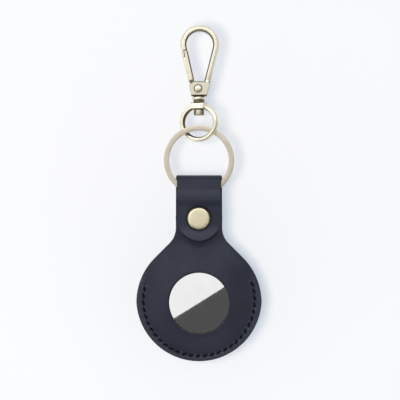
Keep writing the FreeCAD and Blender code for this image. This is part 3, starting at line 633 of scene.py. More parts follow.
def hook_shade(place, normal):
    """How dark the hook is painted: most in seat, slot and notch (patina and painted shade), painted shade
    on inner faces and on faces turned right, and darker on the base and the leg's foot.
    """
    # Seat, slot and notch are fully dark: patina and painted shade in these hollows.
    in_seat = dist((place.x, place.z), PIVOT) < 1.9 and 1.5 < abs(place.y) < 1.99
    in_slot = abs(place.y) < 1.3 and 1 - abs(normal.y) < 0.3
    low, high = CROWN[1] - NOSE_LENGTH - 0.2, CROWN[1] - NOSE_SHOULDER + 0.05
    in_notch = low < place.z < high and place.x < -3.0 and normal.x > 0.5
    if in_seat or in_slot or in_notch:
        return 1.0
    # Painted shade on faces turned to the right, away from the light.
    right = 0.3 * eased((normal.x - 0.45) / 0.4)
    # The base is darker all over, with painted shade on its faces turned up or down.
    if place.z < BASE_TOP + 0.05:
        return 0.26 + 0.7 * eased((abs(normal.z) - 0.12) / 0.2) + right
    # Painted shade on the bow's inner faces, and the leg darkening towards the base to match its tone.
    middle = Vector((CROWN[0] * 0.5, 0, min(max(place.z, BASE_TOP), CROWN[1])))
    inward = (middle - place).normalized().dot(Vector((normal.x, 0, normal.z)))
    low_leg = 0.24 * eased((BASE_TOP + 6.0 - place.z) / 6.0)
    return low_leg + 0.9 * eased((inward - 0.25) / 0.35) + right


def make_hook():
    """Cast hook: bow with a lip at its nose, slotted base and seats for the pivot's heads."""
    right = [leg_side(HOOK_OUTER + BASE_SKIN, z) for z in (BASE_TOP, BASE_BOTTOM)]
    base = [(right[0], BASE_TOP), *BASE_LEFT, (right[1], BASE_BOTTOM)]
    half = HOOK_HALF + BASE_SKIN
    plate = prism(base, -half, half)
    chamfer(plate, base[3], base[4], LOW_CHAMFER)
    chamfer(plate, base[0], base[1], TOP_CHAMFER)
    piece = finish_piece("hook_casting", plate, "hook", cast_brass, ["hook_body"])
    bevelled(piece, BASE_ROUND, 3)
    slot_low = (-9.0, -SLOT_HALF, PIVOT[1] - SLOT_REACH)
    cut_away(piece, box_mesh(slot_low, (PIVOT[0] + SLOT_REACH, SLOT_HALF, BASE_TOP + 2.5)))
    cut_away(piece, bow_mesh(), "UNION")
    cut_away(piece, prism(nose_notch(0.0), -NOTCH_DEPTH, -NOSE_WEB))
    cut_away(piece, prism(nose_notch(0.0), NOSE_WEB, NOTCH_DEPTH))
    cut_away(piece, prism(nose_notch(GATE_GAP - 0.08), -NOSE_WEB - 0.1, NOSE_WEB + 0.1))
    for floor, end in ((-SEAT_FLOOR, -2.6), (SEAT_FLOOR, 2.6)):
        cut_away(piece, rod(SEAT_RADIUS, floor, end, PIVOT, "Y", 48))
    fill_gaps(piece)
    flat_faced(piece)
    store_patina_and_shade(piece, hook_shade)


GATE_GAP = 0.35
GATE_WIDTH = 2.15
GATE_HALF = 1.5
GATE_CHAMFER = 0.55
FOOT_REACH = 3.8
FOOT_HALF = 0.9
FOOT_RADIUS = 1.6
HEEL_RISE = 1.0
SPRING_ROOM = (PIVOT[0] - 1.35, PIVOT[1] + 2.2)


def make_gate():
    """Gate: a bar that tucks into the nose, on a foot with room for the spring."""
    tip = CROWN[1] - NOSE_SHOULDER - GATE_GAP
    step = CROWN[1] - NOSE_LENGTH - GATE_GAP
    outer = nose_side(HOOK_OUTER, NOSE_LENGTH)
    lip = NOSE_LIP + GATE_GAP
    left = PIVOT[0] - FOOT_REACH
    heel = (left + GATE_WIDTH, BASE_TOP + HEEL_RISE)
    bar = [
        (left, BASE_TOP), heel, (outer + GATE_WIDTH, tip),
        (nose_side(HOOK_OUTER, NOSE_SHOULDER) + lip, tip),
        (outer + lip, step), (outer, step),
    ]
    plate = chamfer(prism(bar, -GATE_HALF, GATE_HALF), heel, bar[2], GATE_CHAMFER)
    piece = finish_piece("gate_bar", plate, "gate", cast_brass, ["gate"])
    bevelled(piece, 0.16, 2, 40)
    flat_faced(piece)

    # Painted shade on the bar's faces turned right or down.
    def share(place, normal):
        return 0.95 * eased((normal.x - 0.1) / 0.25) + 0.9 * eased((-normal.z - 0.3) / 0.4)

    store_patina_and_shade(piece, share)
    foot = [(left + 0.1, BASE_TOP + 0.1)] + arc(PIVOT, FOOT_RADIUS, 180, 450, CURVE_STEP)
    foot += [SPRING_ROOM, (heel[0] - 0.05, heel[1]), (heel[0] - 0.5, heel[1] + 0.6)]
    plate = prism(foot, -FOOT_HALF, FOOT_HALF)
    piece = finish_piece("gate_foot", plate, "gate", cast_brass, ())
    bevelled(piece, 0.12, 2, 40)
    flat_faced(piece)
    # The foot is painted dark all over, as shade inside the base's slot.
    store_patina_and_shade(piece, lambda place, normal: 0.9)


PIN_RADIUS = 0.78
PIN_HEAD = 1.38
PIN_UNDER_HEAD = 1.84
PIN_RIM = 2.14
PIN_DOME = 0.36


def make_pivot_pin():
    """Pivot pin with a low dome at each end."""
    bends = [radians(15 * k) for k in range(7)]
    half = [(PIN_HEAD * sin(a), PIN_RIM + PIN_DOME * cos(a)) for a in bends]
    half += [(PIN_HEAD, PIN_UNDER_HEAD), (PIN_RADIUS, PIN_UNDER_HEAD)]
    profile = [(r, -y) for r, y in half] + [(r, y) for r, y in reversed(half)]
    finish_piece("pivot_rivet", lathe(profile, PIVOT), "hook", turned_brass, ["gate_pin"])


POST_ROUND = 0.22
POST_PROFILE = [
    (0.0, -25.45), (1.6, -25.45), (1.6, -26.5), (2.2, -26.5), (2.2, -26.85), (2.85, -26.9),
    (2.85, -27.9), (2.3, -27.95), (2.2, -28.4), (2.3, -28.95), (1.55, -28.95), (1.55, -31.85),
    (2.1, -31.85), (2.1, -33.9), (1.75, -34.3), (0.0, -34.3),
]


def make_swivel_post():
    """Post with a thin collar, a groove and a peened head."""
    stem = lathe(rounded(POST_PROFILE, POST_ROUND), (0, 0), "Z")
    piece = finish_piece("swivel_stem", stem, "hook", turned_brass, ["swivel_post"])

    # Painted shade: the narrow stem dark between base and head, the head darker overall, at its sides and
    # towards its top, and faces turned up or down darker.
    def share(place, normal):
        if hypot(place.x, place.y) < 2.45 and place.z > -31.0:
            return 0.95
        if place.z < -31.8:
            return 0.40 + 0.5 * eased((abs(normal.x) - 0.3) / 0.4) + 0.5 * eased((place.z + 32.9) / 0.8)
        return 0.6 * eased((abs(normal.z) - 0.5) / 0.4)

    store_patina_and_shade(piece, share)


EYE_TURN = Matrix.Translation((0, 0, EYE_Z * MM)) @ Matrix.Rotation(radians(-24), 4, "Z")
EYE_HALF_WIDTH = 7.35
EYE_HALF_HEIGHT = 6.75
EYE_WIRE = 1.125
EYE_STEPS = 120
EYE_BORE = 1.61
LOOP_ROOM = 2.3
BAR_HALF = (2.85, 2.2, 1.325)
BAR_ROUND = 0.38


def make_swivel_eye():
    """Oval eye of round wire that runs into a flat bored bar."""
    bm = bmesh.new()
    ring = bmesh.ops.create_circle(bm, segments=28, radius=EYE_WIRE * MM)["verts"]
    bmesh.ops.translate(bm, vec=point(EYE_HALF_WIDTH, 0, 0), verts=ring)
    bmesh.ops.spin(bm, geom=bm.verts[:] + bm.edges[:], cent=(0, 0, 0), axis=(0, 1, 0), angle=tau,
                   steps=EYE_STEPS, use_merge=True)
    merge(bm)
    bmesh.ops.scale(bm, vec=(1, 1, EYE_HALF_HEIGHT / EYE_HALF_WIDTH), verts=bm.verts)
    bmesh.ops.transform(bm, matrix=EYE_TURN, verts=bm.verts)
    piece = finish_piece("swivel_loop", bm, "eye", wire_brass, ["swivel_eye"])
    cut_away(piece, rod(LOOP_ROOM, -26.0, -34.5, (0, 0), "Z", 64))
    reshade(piece)
    middle = point(0, 0, EYE_Z) / MM

    # Painted shade on the loop's inner faces, most on the left wire.
    def share(place, normal):
        inward = (middle - place).normalized().dot(normal)
        left = eased(0.6 - 0.6 * place.x / EYE_HALF_WIDTH)
        return (0.15 + 0.85 * left) * eased((inward - 0.15) / 0.4)

    store_patina_and_shade(piece, share)
    x, y, z = BAR_HALF
    bar = box_mesh((-x, -y, EYE_HALF_HEIGHT - z), (x, y, EYE_HALF_HEIGHT + z))
    bmesh.ops.transform(bar, matrix=EYE_TURN, verts=bar.verts)
    piece = finish_piece("swivel_bar", bar, "eye", cast_brass, ())
    bevelled(piece, BAR_ROUND, 3)
    cut_away(piece, rod(EYE_BORE, -25.0, -35.0, (0, 0), "Z", 64))
    flat_faced(piece)
    # Painted shade on the bar's faces turned up or down.
    store_patina_and_shade(piece, lambda place, normal: 0.9 * eased((abs(normal.z) - 0.1) / 0.25))


RING_INNER = 12.0
RING_OUTER = 14.15
RING_HALF = 0.425
RING_PITCH = 1.3
RING_CROSS = 44.0
RING_END_GAP = 4.0
RING_ROUND = 0.14


def make_key_ring():
    """Flat split ring: two turns of flat wire that cross over behind the strap."""
    turn = 360.0 - RING_CROSS - RING_END_GAP
    begin = radians(-90 - RING_CROSS / 2 - turn)
    out = Vector((cos(begin), 0, sin(begin)))
    middle = point(0, 0, RING_Z)
    bm = bmesh.new()
    corners = rectangle((RING_INNER, -RING_HALF), (RING_OUTER, RING_HALF))
    section = rounded(corners, RING_ROUND, 3, closed=True)
    places = [middle + out * (r * MM) + point(0, y - RING_PITCH / 2, 0) for r, y in section]
    face = bm.faces.new([bm.verts.new(place) for place in places])
    for angle, rise, steps in ((turn, 0.0, 150), (RING_CROSS, RING_PITCH, 24), (turn, 0.0, 150)):
        face = swing_on(bm, face, middle, -radians(angle), steps, rise)
    merge(bm)
    piece = finish_piece("split_ring", bm, "ring", ring_brass, ["key_ring"])
    # Painted shade on the ring's side walls.
    store_patina_and_shade(piece, lambda place, normal: 0.4 * eased((0.75 - abs(normal.y)) / 0.4))


make_hook()
make_gate()
make_pivot_pin()
make_swivel_post()
make_swivel_eye()
make_key_ring()


# Leather

EDGE_ROUND = 0.5
STRAP_FLAT = STRAP_HALF - EDGE_ROUND
OUTLINE_STEP = 0.33
NECK_CUT = 36.0
STRAP_COLUMNS = 30
FRONT_NECK_TOP = 41.6
FRONT_DOME = 3.95
FRONT_ROOM = 13.0
RUN_OUT = 6.0
RUN_OUT_START = 4.0
RUN_OUT_LENGTH = 14.0
BACK_DOME = 4.3
BACK_ROOM = 12.65
WAVE_HEIGHT = 0.16
WAVE_SCALE = 0.11
TRIM = 0.75
WINDOW_ROUND = 0.3
BACK_MIDDLE = 0.4


def body_outline(top):
    """A panel's outline about the tag's centre, from its top's right end round to the left."""
    root = sqrt(2)
    bend = (STRAP_HALF + NECK_FILLET, PANEL_RADIUS * root - STRAP_HALF + NECK_FILLET * (root - 1))
    side = PANEL_RADIUS / root
    low_radius = (PANEL_RADIUS ** 2 + PANEL_BOTTOM ** 2) / (2 * PANEL_BOTTOM)
    low_centre = (0.0, low_radius - PANEL_BOTTOM)
    low_start = degrees(atan2(-low_centre[1], PANEL_RADIUS))
    slope_start = (bend[0] - NECK_FILLET / root, bend[1] - NECK_FILLET / root)
    right = line((STRAP_HALF, top), (STRAP_HALF, bend[1]), OUTLINE_STEP)
    right += arc(bend, NECK_FILLET, 180, 225, OUTLINE_STEP)
    right += line(slope_start, (side, side), OUTLINE_STEP)
    right += arc((0, 0), PANEL_RADIUS, 45, 0, OUTLINE_STEP)
    right += arc(low_centre, low_radius, low_start, -90, OUTLINE_STEP)
    return right + [(0.0, -PANEL_BOTTOM)] + [(-u, v) for u, v in reversed(right)]


def outward(points):
    """Outward direction at each point of an open outline that runs clockwise."""
    made = []
    for i in range(len(points)):
        a, b = points[max(i - 1, 0)], points[min(i + 1, len(points) - 1)]
        along = Vector((b[0] - a[0], b[1] - a[1])).normalized()
        made.append(Vector((-along.y, along.x)))
    return made


def edge_profile(steps=4):
    """(inset, depth) along a rounded cut edge, between the outer face and the inner one."""
    r = EDGE_ROUND
    bends = [radians(90 * k / steps) for k in range(steps + 1)]
    outer = [(r * (1 - sin(a)), r * (1 - cos(a))) for a in bends]
    inner = [(r * (1 - cos(a)), LEATHER - r * (1 - sin(a))) for a in bends]
    return outer[1:] + inner[:-1]


SEAM_NEAR = [0.0, 0.25, 0.5, 0.75, 1.0, 1.3, 1.55, 1.8, 2.05, 2.3, 2.55, 2.8, 3.05, 3.3, 3.6, 4.0, 4.6]
INNER_STATIONS = 24
STATIONS = len(SEAM_NEAR) + INNER_STATIONS


def station(length, index):
    """Distance inward from a panel's edge, in finer steps over the seam."""
    if index < len(SEAM_NEAR):
        return SEAM_NEAR[index]
    return SEAM_NEAR[-1] + (length - SEAM_NEAR[-1]) * (index - len(SEAM_NEAR) + 1) / INNER_STATIONS


SEAM_STEP = SEAM_SPAN / SEAM_STITCHES
SEAM_START = SEAM_TURN - 90 + SEAM_SPAN / 2
SEAM_ANGLES = [radians(SEAM_START - SEAM_STEP * i) for i in range(SEAM_STITCHES + 1)]
SEAM_HOLES = [(SEAM_RADIUS * cos(a), SEAM_RADIUS * sin(a) + SEAM_LIFT) for a in SEAM_ANGLES]
GROOVE_DEPTH = 0.16
GROOVE_WIDTH = 0.75
HOLE_DEPTH = 0.22
HOLE_WIDTH = 0.42
DEGREE_RUN = 0.39


def hole_distance(u, v):
    """Distance to the nearest hole of the seam."""
    return min(hypot(u - a, v - b) for a, b in SEAM_HOLES)


def seam_sink(u, v):
    """How far the seam pulls a panel's face in at a place."""
    rise = v - SEAM_LIFT
    off = abs(hypot(u, rise) - SEAM_RADIUS)
    if off > 2.0:
        return 0.0
    turn = (degrees(atan2(rise, u)) + 90 - SEAM_TURN + 540) % 360 - 180
    over = max(0.0, abs(turn) - SEAM_SPAN / 2) * DEGREE_RUN
    groove = GROOVE_DEPTH * bell(off, 0.0, GROOVE_WIDTH) * bell(over, 0.0, 1.0)
    return groove + HOLE_DEPTH * bell(hole_distance(u, v), 0.0, HOLE_WIDTH)


def uneven(u, v, seed):
    """Slight unevenness of hand-cut leather."""
    return WAVE_HEIGHT * noise.noise(Vector((u * WAVE_SCALE, v * WAVE_SCALE, seed)))


def dome(u, v, flat, rim, height):
    """Height of a pressed dome at a place."""
    t = min(max((hypot(u, v) - flat) / (rim - flat), 0.0), 1.0)
    return height * (1 - 0.45 * t - 0.55 * (0.5 - 0.5 * cos(pi * t)))


def hollow(u, v, flat, depth):
    """Depth of the tag's room, which is rounded off outside a flat middle."""
    reach = min(max(hypot(u, v) - flat, 0.0), depth)
    return sqrt(depth ** 2 - reach ** 2)


def front_level(u, v):
    """Y of the front panel before sewing, a dome that runs out towards the neck."""
    edge = POCKET_EDGE + RUN_OUT * eased((v - RUN_OUT_START) / RUN_OUT_LENGTH)
    return NECK_FRONT - dome(u, v, WINDOW_RADIUS, edge, FRONT_DOME)


def front_face(u, v):
    """Y of the front panel's outer face."""
    return front_level(u, v) + seam_sink(u, v) + uneven(u, v, 3.0)


def front_inside(u, v):
    """Y of the front panel's inner face, round the tag and one thickness behind the front."""
    return min(SEAM_Y - hollow(u, v, FRONT_ROOM, FRONT_DOME), front_level(u, v) + LEATHER)


def back_face(u, v):
    """Y of the back panel's outer face."""
    away = eased((NECK_CUT - v) / 8) * eased((hypot(u, v) - BACK_FLAT) / 3)
    lift = dome(u, v, BACK_FLAT, POCKET_EDGE, BACK_DOME)
    return SEAM_Y + LEATHER + lift - seam_sink(u, v) - uneven(u, v, 9.0) * away


def back_inside(u, v):
    """Y of the back panel's inner face, round the tag."""
    return SEAM_Y + hollow(u, v, BACK_ROOM, BACK_DOME)


def face_places(rim, inner_end, height, index):
    """Places of one line of a panel's face, at a station inward from its rim."""
    places = []
    for u, v in rim:
        reach = hypot(u, v)
        share = 1 - station(reach - inner_end, index) / reach
        places.append(point(u * share, height(u * share, v * share), TAG_Z + v * share))
    return places


def add_panel(bm, outline, top, outer, inner, inner_end, marks):
    """A panel of leather from extruded lines of vertices: in over its outer face, then round its cut edge
    and in over its inner face. Its top points have a plain edge. Marks takes the cut edge's vertices."""
    normals = outward(outline)
    inset = [(p[0] - n.x * EDGE_ROUND, p[1] - n.y * EDGE_ROUND) for p, n in zip(outline, normals)]
    rim = inset + top
    start = face_places(rim, inner_end, outer, 0)
    end = face_places(rim, inner_end, inner, 0)
    loop = first = next_loop(bm, None, start)
    for index in range(1, STATIONS):
        loop = next_loop(bm, loop, face_places(rim, inner_end, outer, index))
    front_end = loop
    loop = first
    for step, (edge_inset, depth) in enumerate(edge_profile()):
        places = []
        for i, (a, b) in enumerate(zip(start, end)):
            place = a.lerp(b, depth / LEATHER)
            if i < len(outline):
                place.x = (outline[i][0] - normals[i].x * edge_inset) * MM
                place.z = (TAG_Z + outline[i][1] - normals[i].y * edge_inset) * MM
            places.append(place)
        loop = next_loop(bm, loop, places)
        if 0 < step < 7:
            marks.extend(loop[:len(outline)])
    for index in range(STATIONS):
        loop = next_loop(bm, loop, face_places(rim, inner_end, inner, index))
    return front_end, loop


TIP_HIGH = SNAP_Z - TAG_Z - 2.8
TIP_LOW = SNAP_Z - TAG_Z - STRAP_HALF - 0.3
PRESS_DEPTH = 0.45
PRESS_RADIUS = 4.4
PRESS_WIDTH = 0.75
# Radius of a painted shadow ring round the snap's cap.
CAP_SHADOW_RING = 4.75


def mark_edges(piece, places):
    """Stores where the leather is cut edge or has a painted shadow ring round the snap's cap, where painted
    glints lie beside the needle holes, and where rims are rubbed or painted with sheen.
    """
    edges, holes, rubs_and_sheen = [], [], []
    for vert in piece.data.vertices:
        u, y, v = vert.co / MM
        v -= TAG_Z
        snap_off = hypot(u, v + TAG_Z - SNAP_Z)
        # A painted shadow ring on the tongue's face round the snap's cap, stored with the dark paint of the
        # cut edge.
        pressed = 0.8 * bell(snap_off, CAP_SHADOW_RING, 0.5) if y < -2.6 else 0.0
        edge = 1.0 if rounded_place(vert) in places else pressed
        seam_off = hypot(u, v - SEAM_LIFT) - SEAM_RADIUS
        near = hole_distance(u, v) if abs(seam_off) < 1.2 and v < 10 else 9.0
        # The panels' rim outside the seam is lighter: rubbed leather and painted sheen.
        rim = eased((seam_off - 0.4) / 0.8) * eased((14.0 - v) / 6.0)
        # Painted sheen where the strap stands out furthest, on the bulge over the ring and towards the
        # tongue's tip.
        strap_sheen = eased((-4.05 - y) / 0.5)
        if y < -3.3 and v > TIP_LOW:
            strap_sheen = max(strap_sheen, eased((TIP_HIGH - v) / 3.0))
        edges.append(edge)
        # Painted glints on the leather beside each needle hole.
        holes.append(bell(near, 0.55, 0.22))
        rubs_and_sheen.append(max(rim, strap_sheen) * (1 - edge))
    for name, values in (("cut_edge", edges), ("hole_glint", holes), ("rub_and_sheen", rubs_and_sheen)):
        store(piece, name, "POINT", values)


def rounded_place(vert):
    """A vertex's place, by which it is found again in the finished mesh."""
    return tuple(round(c, 7) for c in vert.co)


def make_leather(name, bm, marks, body, nodes):
    """Finishes a piece of leather with its marks."""
    merge(bm)
    places = {rounded_place(v) for v in marks if v.is_valid}
    piece = finish_piece(name, bm, body, leather, nodes, 60)
    mark_edges(piece, places)
    return piece


def make_front_panel():
    """Front of the pocket with its window, cut a little short at the upper right."""
    def trimmed(u, v):
        short = TRIM * eased((u - 9.0) / 5.0) * eased((v - 1.0) / 7.0) * eased((29.0 - v) / 6.0)
        reach = hypot(u, v)
        return u * (1 - short / reach), v * (1 - short / reach)

    outline = [trimmed(u, v) for u, v in body_outline(FRONT_NECK_TOP)]
    top = line((-STRAP_FLAT, FRONT_NECK_TOP), (STRAP_FLAT, FRONT_NECK_TOP), OUTLINE_STEP)[1:]
    bm = bmesh.new()
    marks = []
    loop, back = add_panel(bm, outline, top, front_face, front_inside, WINDOW_RADIUS + WINDOW_ROUND, marks)
    turns = [atan2(v.co.z - TAG_Z * MM, v.co.x) for v in loop]
    depths = [v.co.y / MM for v in loop]

    def ring(radius, depths):
        return [point(radius * cos(t), y, TAG_Z + radius * sin(t)) for t, y in zip(turns, depths)]

    for k in range(1, 7):
        a = radians(15 * k)
        radius = WINDOW_RADIUS + WINDOW_ROUND * (1 - sin(a))
        sunk = WINDOW_ROUND * (1 - cos(a))
        loop = next_loop(bm, loop, ring(radius, [y + sunk for y in depths]))
        marks.extend(loop if k > 2 else [])
    loop = next_loop(bm, loop, ring(WINDOW_RADIUS, [v.co.y / MM for v in back]))
    marks.extend(loop)
    next_loop(bm, loop, [v.co for v in back])
    make_leather("front_leather", bm, marks, "holder", ["front_panel"])


NECK_STEP = 0.6
TONGUE_STEP = 0.5
BULGE = [
    (-61.9, 0.0), (-63.1, -0.28), (-65.6, -0.95), (-66.4, -0.98), (-67.3, -0.86), (-70.8, 0.04),
    (-74.5, 0.0), (-78.6, 0.0), (-85.2, -1.1),
]


def strap_rows():
    """Rows along the strap, from the neck over the key ring to the tongue's round tip: half width,
    inner face's Y and Z, the outward direction there and how far the tip's edge has turned."""
    neck = line((0.0, TAG_Z + NECK_CUT), (0.0, FOLD_Z), NECK_STEP)
    rows = [(STRAP_HALF, FOLD_INNER, z, (1.0, 0.0), 0.0) for _, z in neck]
    for i in range(21):
        a = radians(9 * i)
        half = STRAP_HALF + (STRAP_HALF_AT_FOLD - STRAP_HALF) * eased((i - 6) / 10)
        out = (cos(a), sin(a))
        rows.append((half, FOLD_INNER * out[0], FOLD_Z + FOLD_INNER * out[1], out, 0.0))
    side = line((STRAP_HALF, SNAP_Z), (STRAP_HALF_AT_FOLD, FOLD_Z), TONGUE_STEP)
    tongue = [(half, z, 0.0) for half, z in reversed(side)]
    bends = [radians(3 * i) for i in range(1, 31)]
    tongue += [(STRAP_HALF * cos(a), SNAP_Z - STRAP_HALF * sin(a), a) for a in bends]
    for half, z, turn in tongue:
        y = -FOLD_INNER + table_value(z, BULGE)
        slope = (table_value(z + 0.2, BULGE) - table_value(z - 0.2, BULGE)) / 0.4
        rows.append((half, y, z, tuple(Vector((-1.0, slope)).normalized()), turn))
    return rows


def strap_places(row, columns):
    """Places round the strap at a row, pressed in by the snap's cap, and which are cut edge or inside."""
    half, y, z, (out_y, out_z), turn = row
    aside, drop = cos(turn), sin(turn)

    def place(share, inset, depth):
        across, low = share * (half - inset * aside), z + inset * drop
        reach = LEATHER - depth
        if out_y < -0.5 and depth < LEATHER / 2:
            reach -= PRESS_DEPTH * bell(hypot(across, low - SNAP_Z), PRESS_RADIUS, PRESS_WIDTH)
        return point(across, y + out_y * reach, low + out_z * reach)

    profile = edge_profile()
    shares = [u / columns[0] for u in columns]
    places = [place(share, EDGE_ROUND, 0.0) for share in shares]
    places += [place(-1, inset, depth) for inset, depth in profile]
    places += [place(share, EDGE_ROUND, LEATHER) for share in reversed(shares)]
    places += [place(1, inset, depth) for inset, depth in reversed(profile)]
    return places, range(len(shares), 2 * len(shares) + 2 * len(profile))


def make_back_leather():
    """Back of the pocket and the strap, one piece of leather that folds over the key ring."""
    outline = body_outline(NECK_CUT)
    columns = [STRAP_FLAT * (1 - 2 * k / STRAP_COLUMNS) for k in range(STRAP_COLUMNS + 1)]
    top = [(u, NECK_CUT) for u in reversed(columns[1:-1])]
    bm = bmesh.new()
    marks = []
    for loop in add_panel(bm, outline, top, back_face, back_inside, BACK_MIDDLE, marks):
        bm.faces.new(loop)
    bm.normal_update()
    cut = (TAG_Z + NECK_CUT) * MM
    plain = [f for f in bm.faces if all(abs(v.co.z - cut) < 0.002 * MM for v in f.verts)]
    bmesh.ops.delete(bm, geom=plain, context="FACES")
    loop = None
    for row in strap_rows():
        places, cut_edge = strap_places(row, columns)
        loop = next_loop(bm, loop, places)
        marks.extend(loop[i] for i in cut_edge)
    nodes = ["back_panel", "strap_fold", "strap_tongue"]
    piece = make_leather("back_leather", bm, marks, None, nodes)
    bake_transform(piece)


STITCH_STEPS = 16
STITCH_SHARE = 0.74
STITCH_SLANT = 0.20
STITCH_TURNS = 0.9
STITCH_RISE = 0.52
STITCH_SINK = 0.28
PLY_SIDES = 8
PLY_RADIUS = 0.24
PLY_OFFSET = 0.20


def make_stitches(name, node, out):
    """Lockstitches: a stitch of two twisted plies that dip at both ends, spun along the seam."""
    length = STITCH_SHARE * 2 * SEAM_RADIUS * sin(radians(SEAM_STEP / 2))
    first = SEAM_ANGLES[0] - radians(SEAM_STEP / 2)
    away = Vector((cos(first), sin(first)))
    along = Vector((away.y, -away.x))
    middle = away * (SEAM_RADIUS * cos(radians(SEAM_STEP / 2)))
    level = NECK_FRONT if out < 0 else SEAM_Y + LEATHER
    bm = bmesh.new()
    for strand in range(2):
        loop = None
        for k in range(STITCH_STEPS + 1):
            t = k / STITCH_STEPS
            twist = tau * STITCH_TURNS * t + pi * strand
            aside = PLY_OFFSET * cos(twist) - out * STITCH_SLANT * sin(pi * (t - 0.5))
            spot = middle + along * ((t - 0.5) * length) + away * aside
            height = STITCH_RISE * sin(pi * t) ** 0.6 - STITCH_SINK + PLY_OFFSET * sin(twist)
            places = []
            for s in range(PLY_SIDES):
                b = tau * s / PLY_SIDES
                edge = spot + away * (PLY_RADIUS * cos(b))
                y = level + out * (height + PLY_RADIUS * sin(b))
                places.append(point(edge.x, y, TAG_Z + SEAM_LIFT + edge.y))
            loop = next_loop(bm, loop, places)
            if k in (0, STITCH_STEPS):
                bm.faces.new(loop)
    bmesh.ops.spin(bm, geom=bm.verts[:] + bm.edges[:] + bm.faces[:], cent=point(0, 0, TAG_Z + SEAM_LIFT),
                   axis=(0, 1, 0), angle=radians(SEAM_SPAN - SEAM_STEP), steps=SEAM_STITCHES - 1,
                   use_duplicate=True)
    finish_piece(name, bm, "holder", thread, [node], 70)


make_front_panel()
make_back_leather()
make_stitches("stitches_front", "seam_thread_front", -1)
make_stitches("stitches_back", "seam_thread_back", 1)


# Snap

CAP_ROUND = 0.25
CAP_RIM = 3.95
CAP_PROFILE = [
    (0.0, -4.5), (2.6, -4.495), (CAP_RIM, -4.46), (4.58, -4.00), (4.58, -3.45), (4.2, -3.45),
    (4.2, -3.60), (1.5, -3.60), (1.5, -1.60), (1.95, -1.60), (1.95, -1.35), (0.0, -1.35),
]


def make_snap():
    """Cap of the snap with a flat face and a rolled edge."""
    cap = lathe(rounded(CAP_PROFILE, CAP_ROUND), (0, SNAP_Z))
    piece = finish_piece("cap", cap, "flap", snap_brass, ["snap_cap"])

    # Painted shade on the cap's rolled rim, less on the left where the light falls, and half on faces not
    # turned to the front.
    def share(place, normal):
        rim = eased((hypot(place.x, place.z - SNAP_Z) - CAP_RIM) / 0.25)
        return rim * (0.95 - 0.7 * eased((-place.x - 1.5) / 2.0)) * (1.0 if normal.y < -0.3 else 0.5)

    store_patina_and_shade(piece, share)


make_snap()


# Tag

COVER_FRONT = -2.0
COVER_RISE = 0.27
COVER_FLAT = 11.6
COVER_STEPS = 24
ROLL_STEPS = 7
SKIRT = [(12.75, -1.35), (12.75, 0.8), (12.25, 0.8), (12.25, -1.0), (12.0, -1.25)]
SKIRT_ROUND = 0.1
INSIDE_STEPS = 12


def make_tag_cover():
    """Polished cover: a shallow dome with a turned-down skirt."""
    shares = [k / COVER_STEPS for k in range(COVER_STEPS + 1)]
    face = [(COVER_FLAT * t, COVER_FRONT + COVER_RISE * t ** 2) for t in shares]
    rim = COVER_FRONT + COVER_RISE
    reaches = [k / 10 for k in range(1, ROLL_STEPS + 1)]
    roll = [(COVER_FLAT + r, rim + 0.046 * r + 0.15 * r ** 3) for r in reaches]
    edge = rounded([roll[-1], *SKIRT], SKIRT_ROUND)
    shares = [k / INSIDE_STEPS for k in range(INSIDE_STEPS, -1, -1)]
    inside = [(SKIRT[-1][0] * t, -1.5 + 0.15 * t ** 2) for t in shares]
    cover = lathe(face + roll + edge[1:] + inside, (0, TAG_Z), steps=128)
    finish_piece("steel_cover", cover, "cover", steel, ["tag_cover"])


make_tag_cover()


# Hidden parts keep their built shapes

HIDDEN = {
    ("spring_steel", (0.50, 0.50, 0.51), 0.30, 1.0): ["gate_spring", "snap_spring"],
    ("tag_plastic", (0.86, 0.86, 0.86), 0.18, 0.0, 0.02): ["tag_shell"],
    ("seal_rubber", (0.02, 0.02, 0.02), 0.7): ["cover_seal"],
    ("cell_steel", (0.62, 0.62, 0.63), 0.25, 1.0): ["coin_cell", "speaker_magnet"],
    ("contact_metal", (0.80, 0.62, 0.30), 0.25, 1.0): ["battery_contacts"],
    ("frame_plastic", (0.07, 0.07, 0.075), 0.5): ["inner_frame"],
    ("board_mask", (0.01, 0.05, 0.03), 0.35, 0.0, 0.2, 500.0): ["circuit_board"],
    ("coil_wire", (0.55, 0.22, 0.08), 0.35, 1.0, 0.2, 2500.0): ["speaker_coil"],
}


def dress_nodes(names, material):
    """Gives built nodes a material and smooth shading."""
    for name in names:
        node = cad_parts[name]
        node.data.materials.clear()
        node.data.materials.append(material)
        reshade(node)


dress_nodes(["snap_socket", "snap_stud", "snap_post"], snap_brass)
for finish, names in HIDDEN.items():
    dress_nodes(names, plain_material(*finish))


# Camera

CAMERA_PLACE = (0.4, -550, -68.3)
LENS = 122.8
SENSOR = 36
camera = bpy.data.objects.new("camera", bpy.data.cameras.new("camera"))
scene.collection.objects.link(camera)
camera.location = point(*CAMERA_PLACE)
camera.rotation_euler = (radians(90), 0, 0)
camera.data.lens = LENS
camera.data.sensor_width = SENSOR
camera.data.clip_start = 0.01
scene.camera = camera
scene.view_settings.view_transform = "Standard"


# Backdrop and light

GROUND = (0.956, 0.960, 0.975)
# The paper is warm and its glow blue, so that it reads white where lit and the lamp's shadow on it reads
# bluish: a painted blue tint of the shadow.
PAPER = (0.66, 0.58, 0.48)
PAPER_GLOW = (0.375, 0.450, 0.552)
SKY_DIFFUSE = 0.35
SKY_GLOSSY = 0.96
WALL_Y = 30.0
WALL_MIDDLE = -66.0
WALL_REACH = 320.0
CARD_BLUE = 1.02


def add_plane(name, corners, material, unseen):
    """A flat sheet between corners, hidden from some kinds of rays."""
    bm = bmesh.new()
    bm.faces.new([bm.verts.new(point(*c)) for c in corners])
    made = new_object(name, bm)
    made.data.materials.append(material)
    for ray in unseen:
        setattr(made, "visible_" + ray, False)


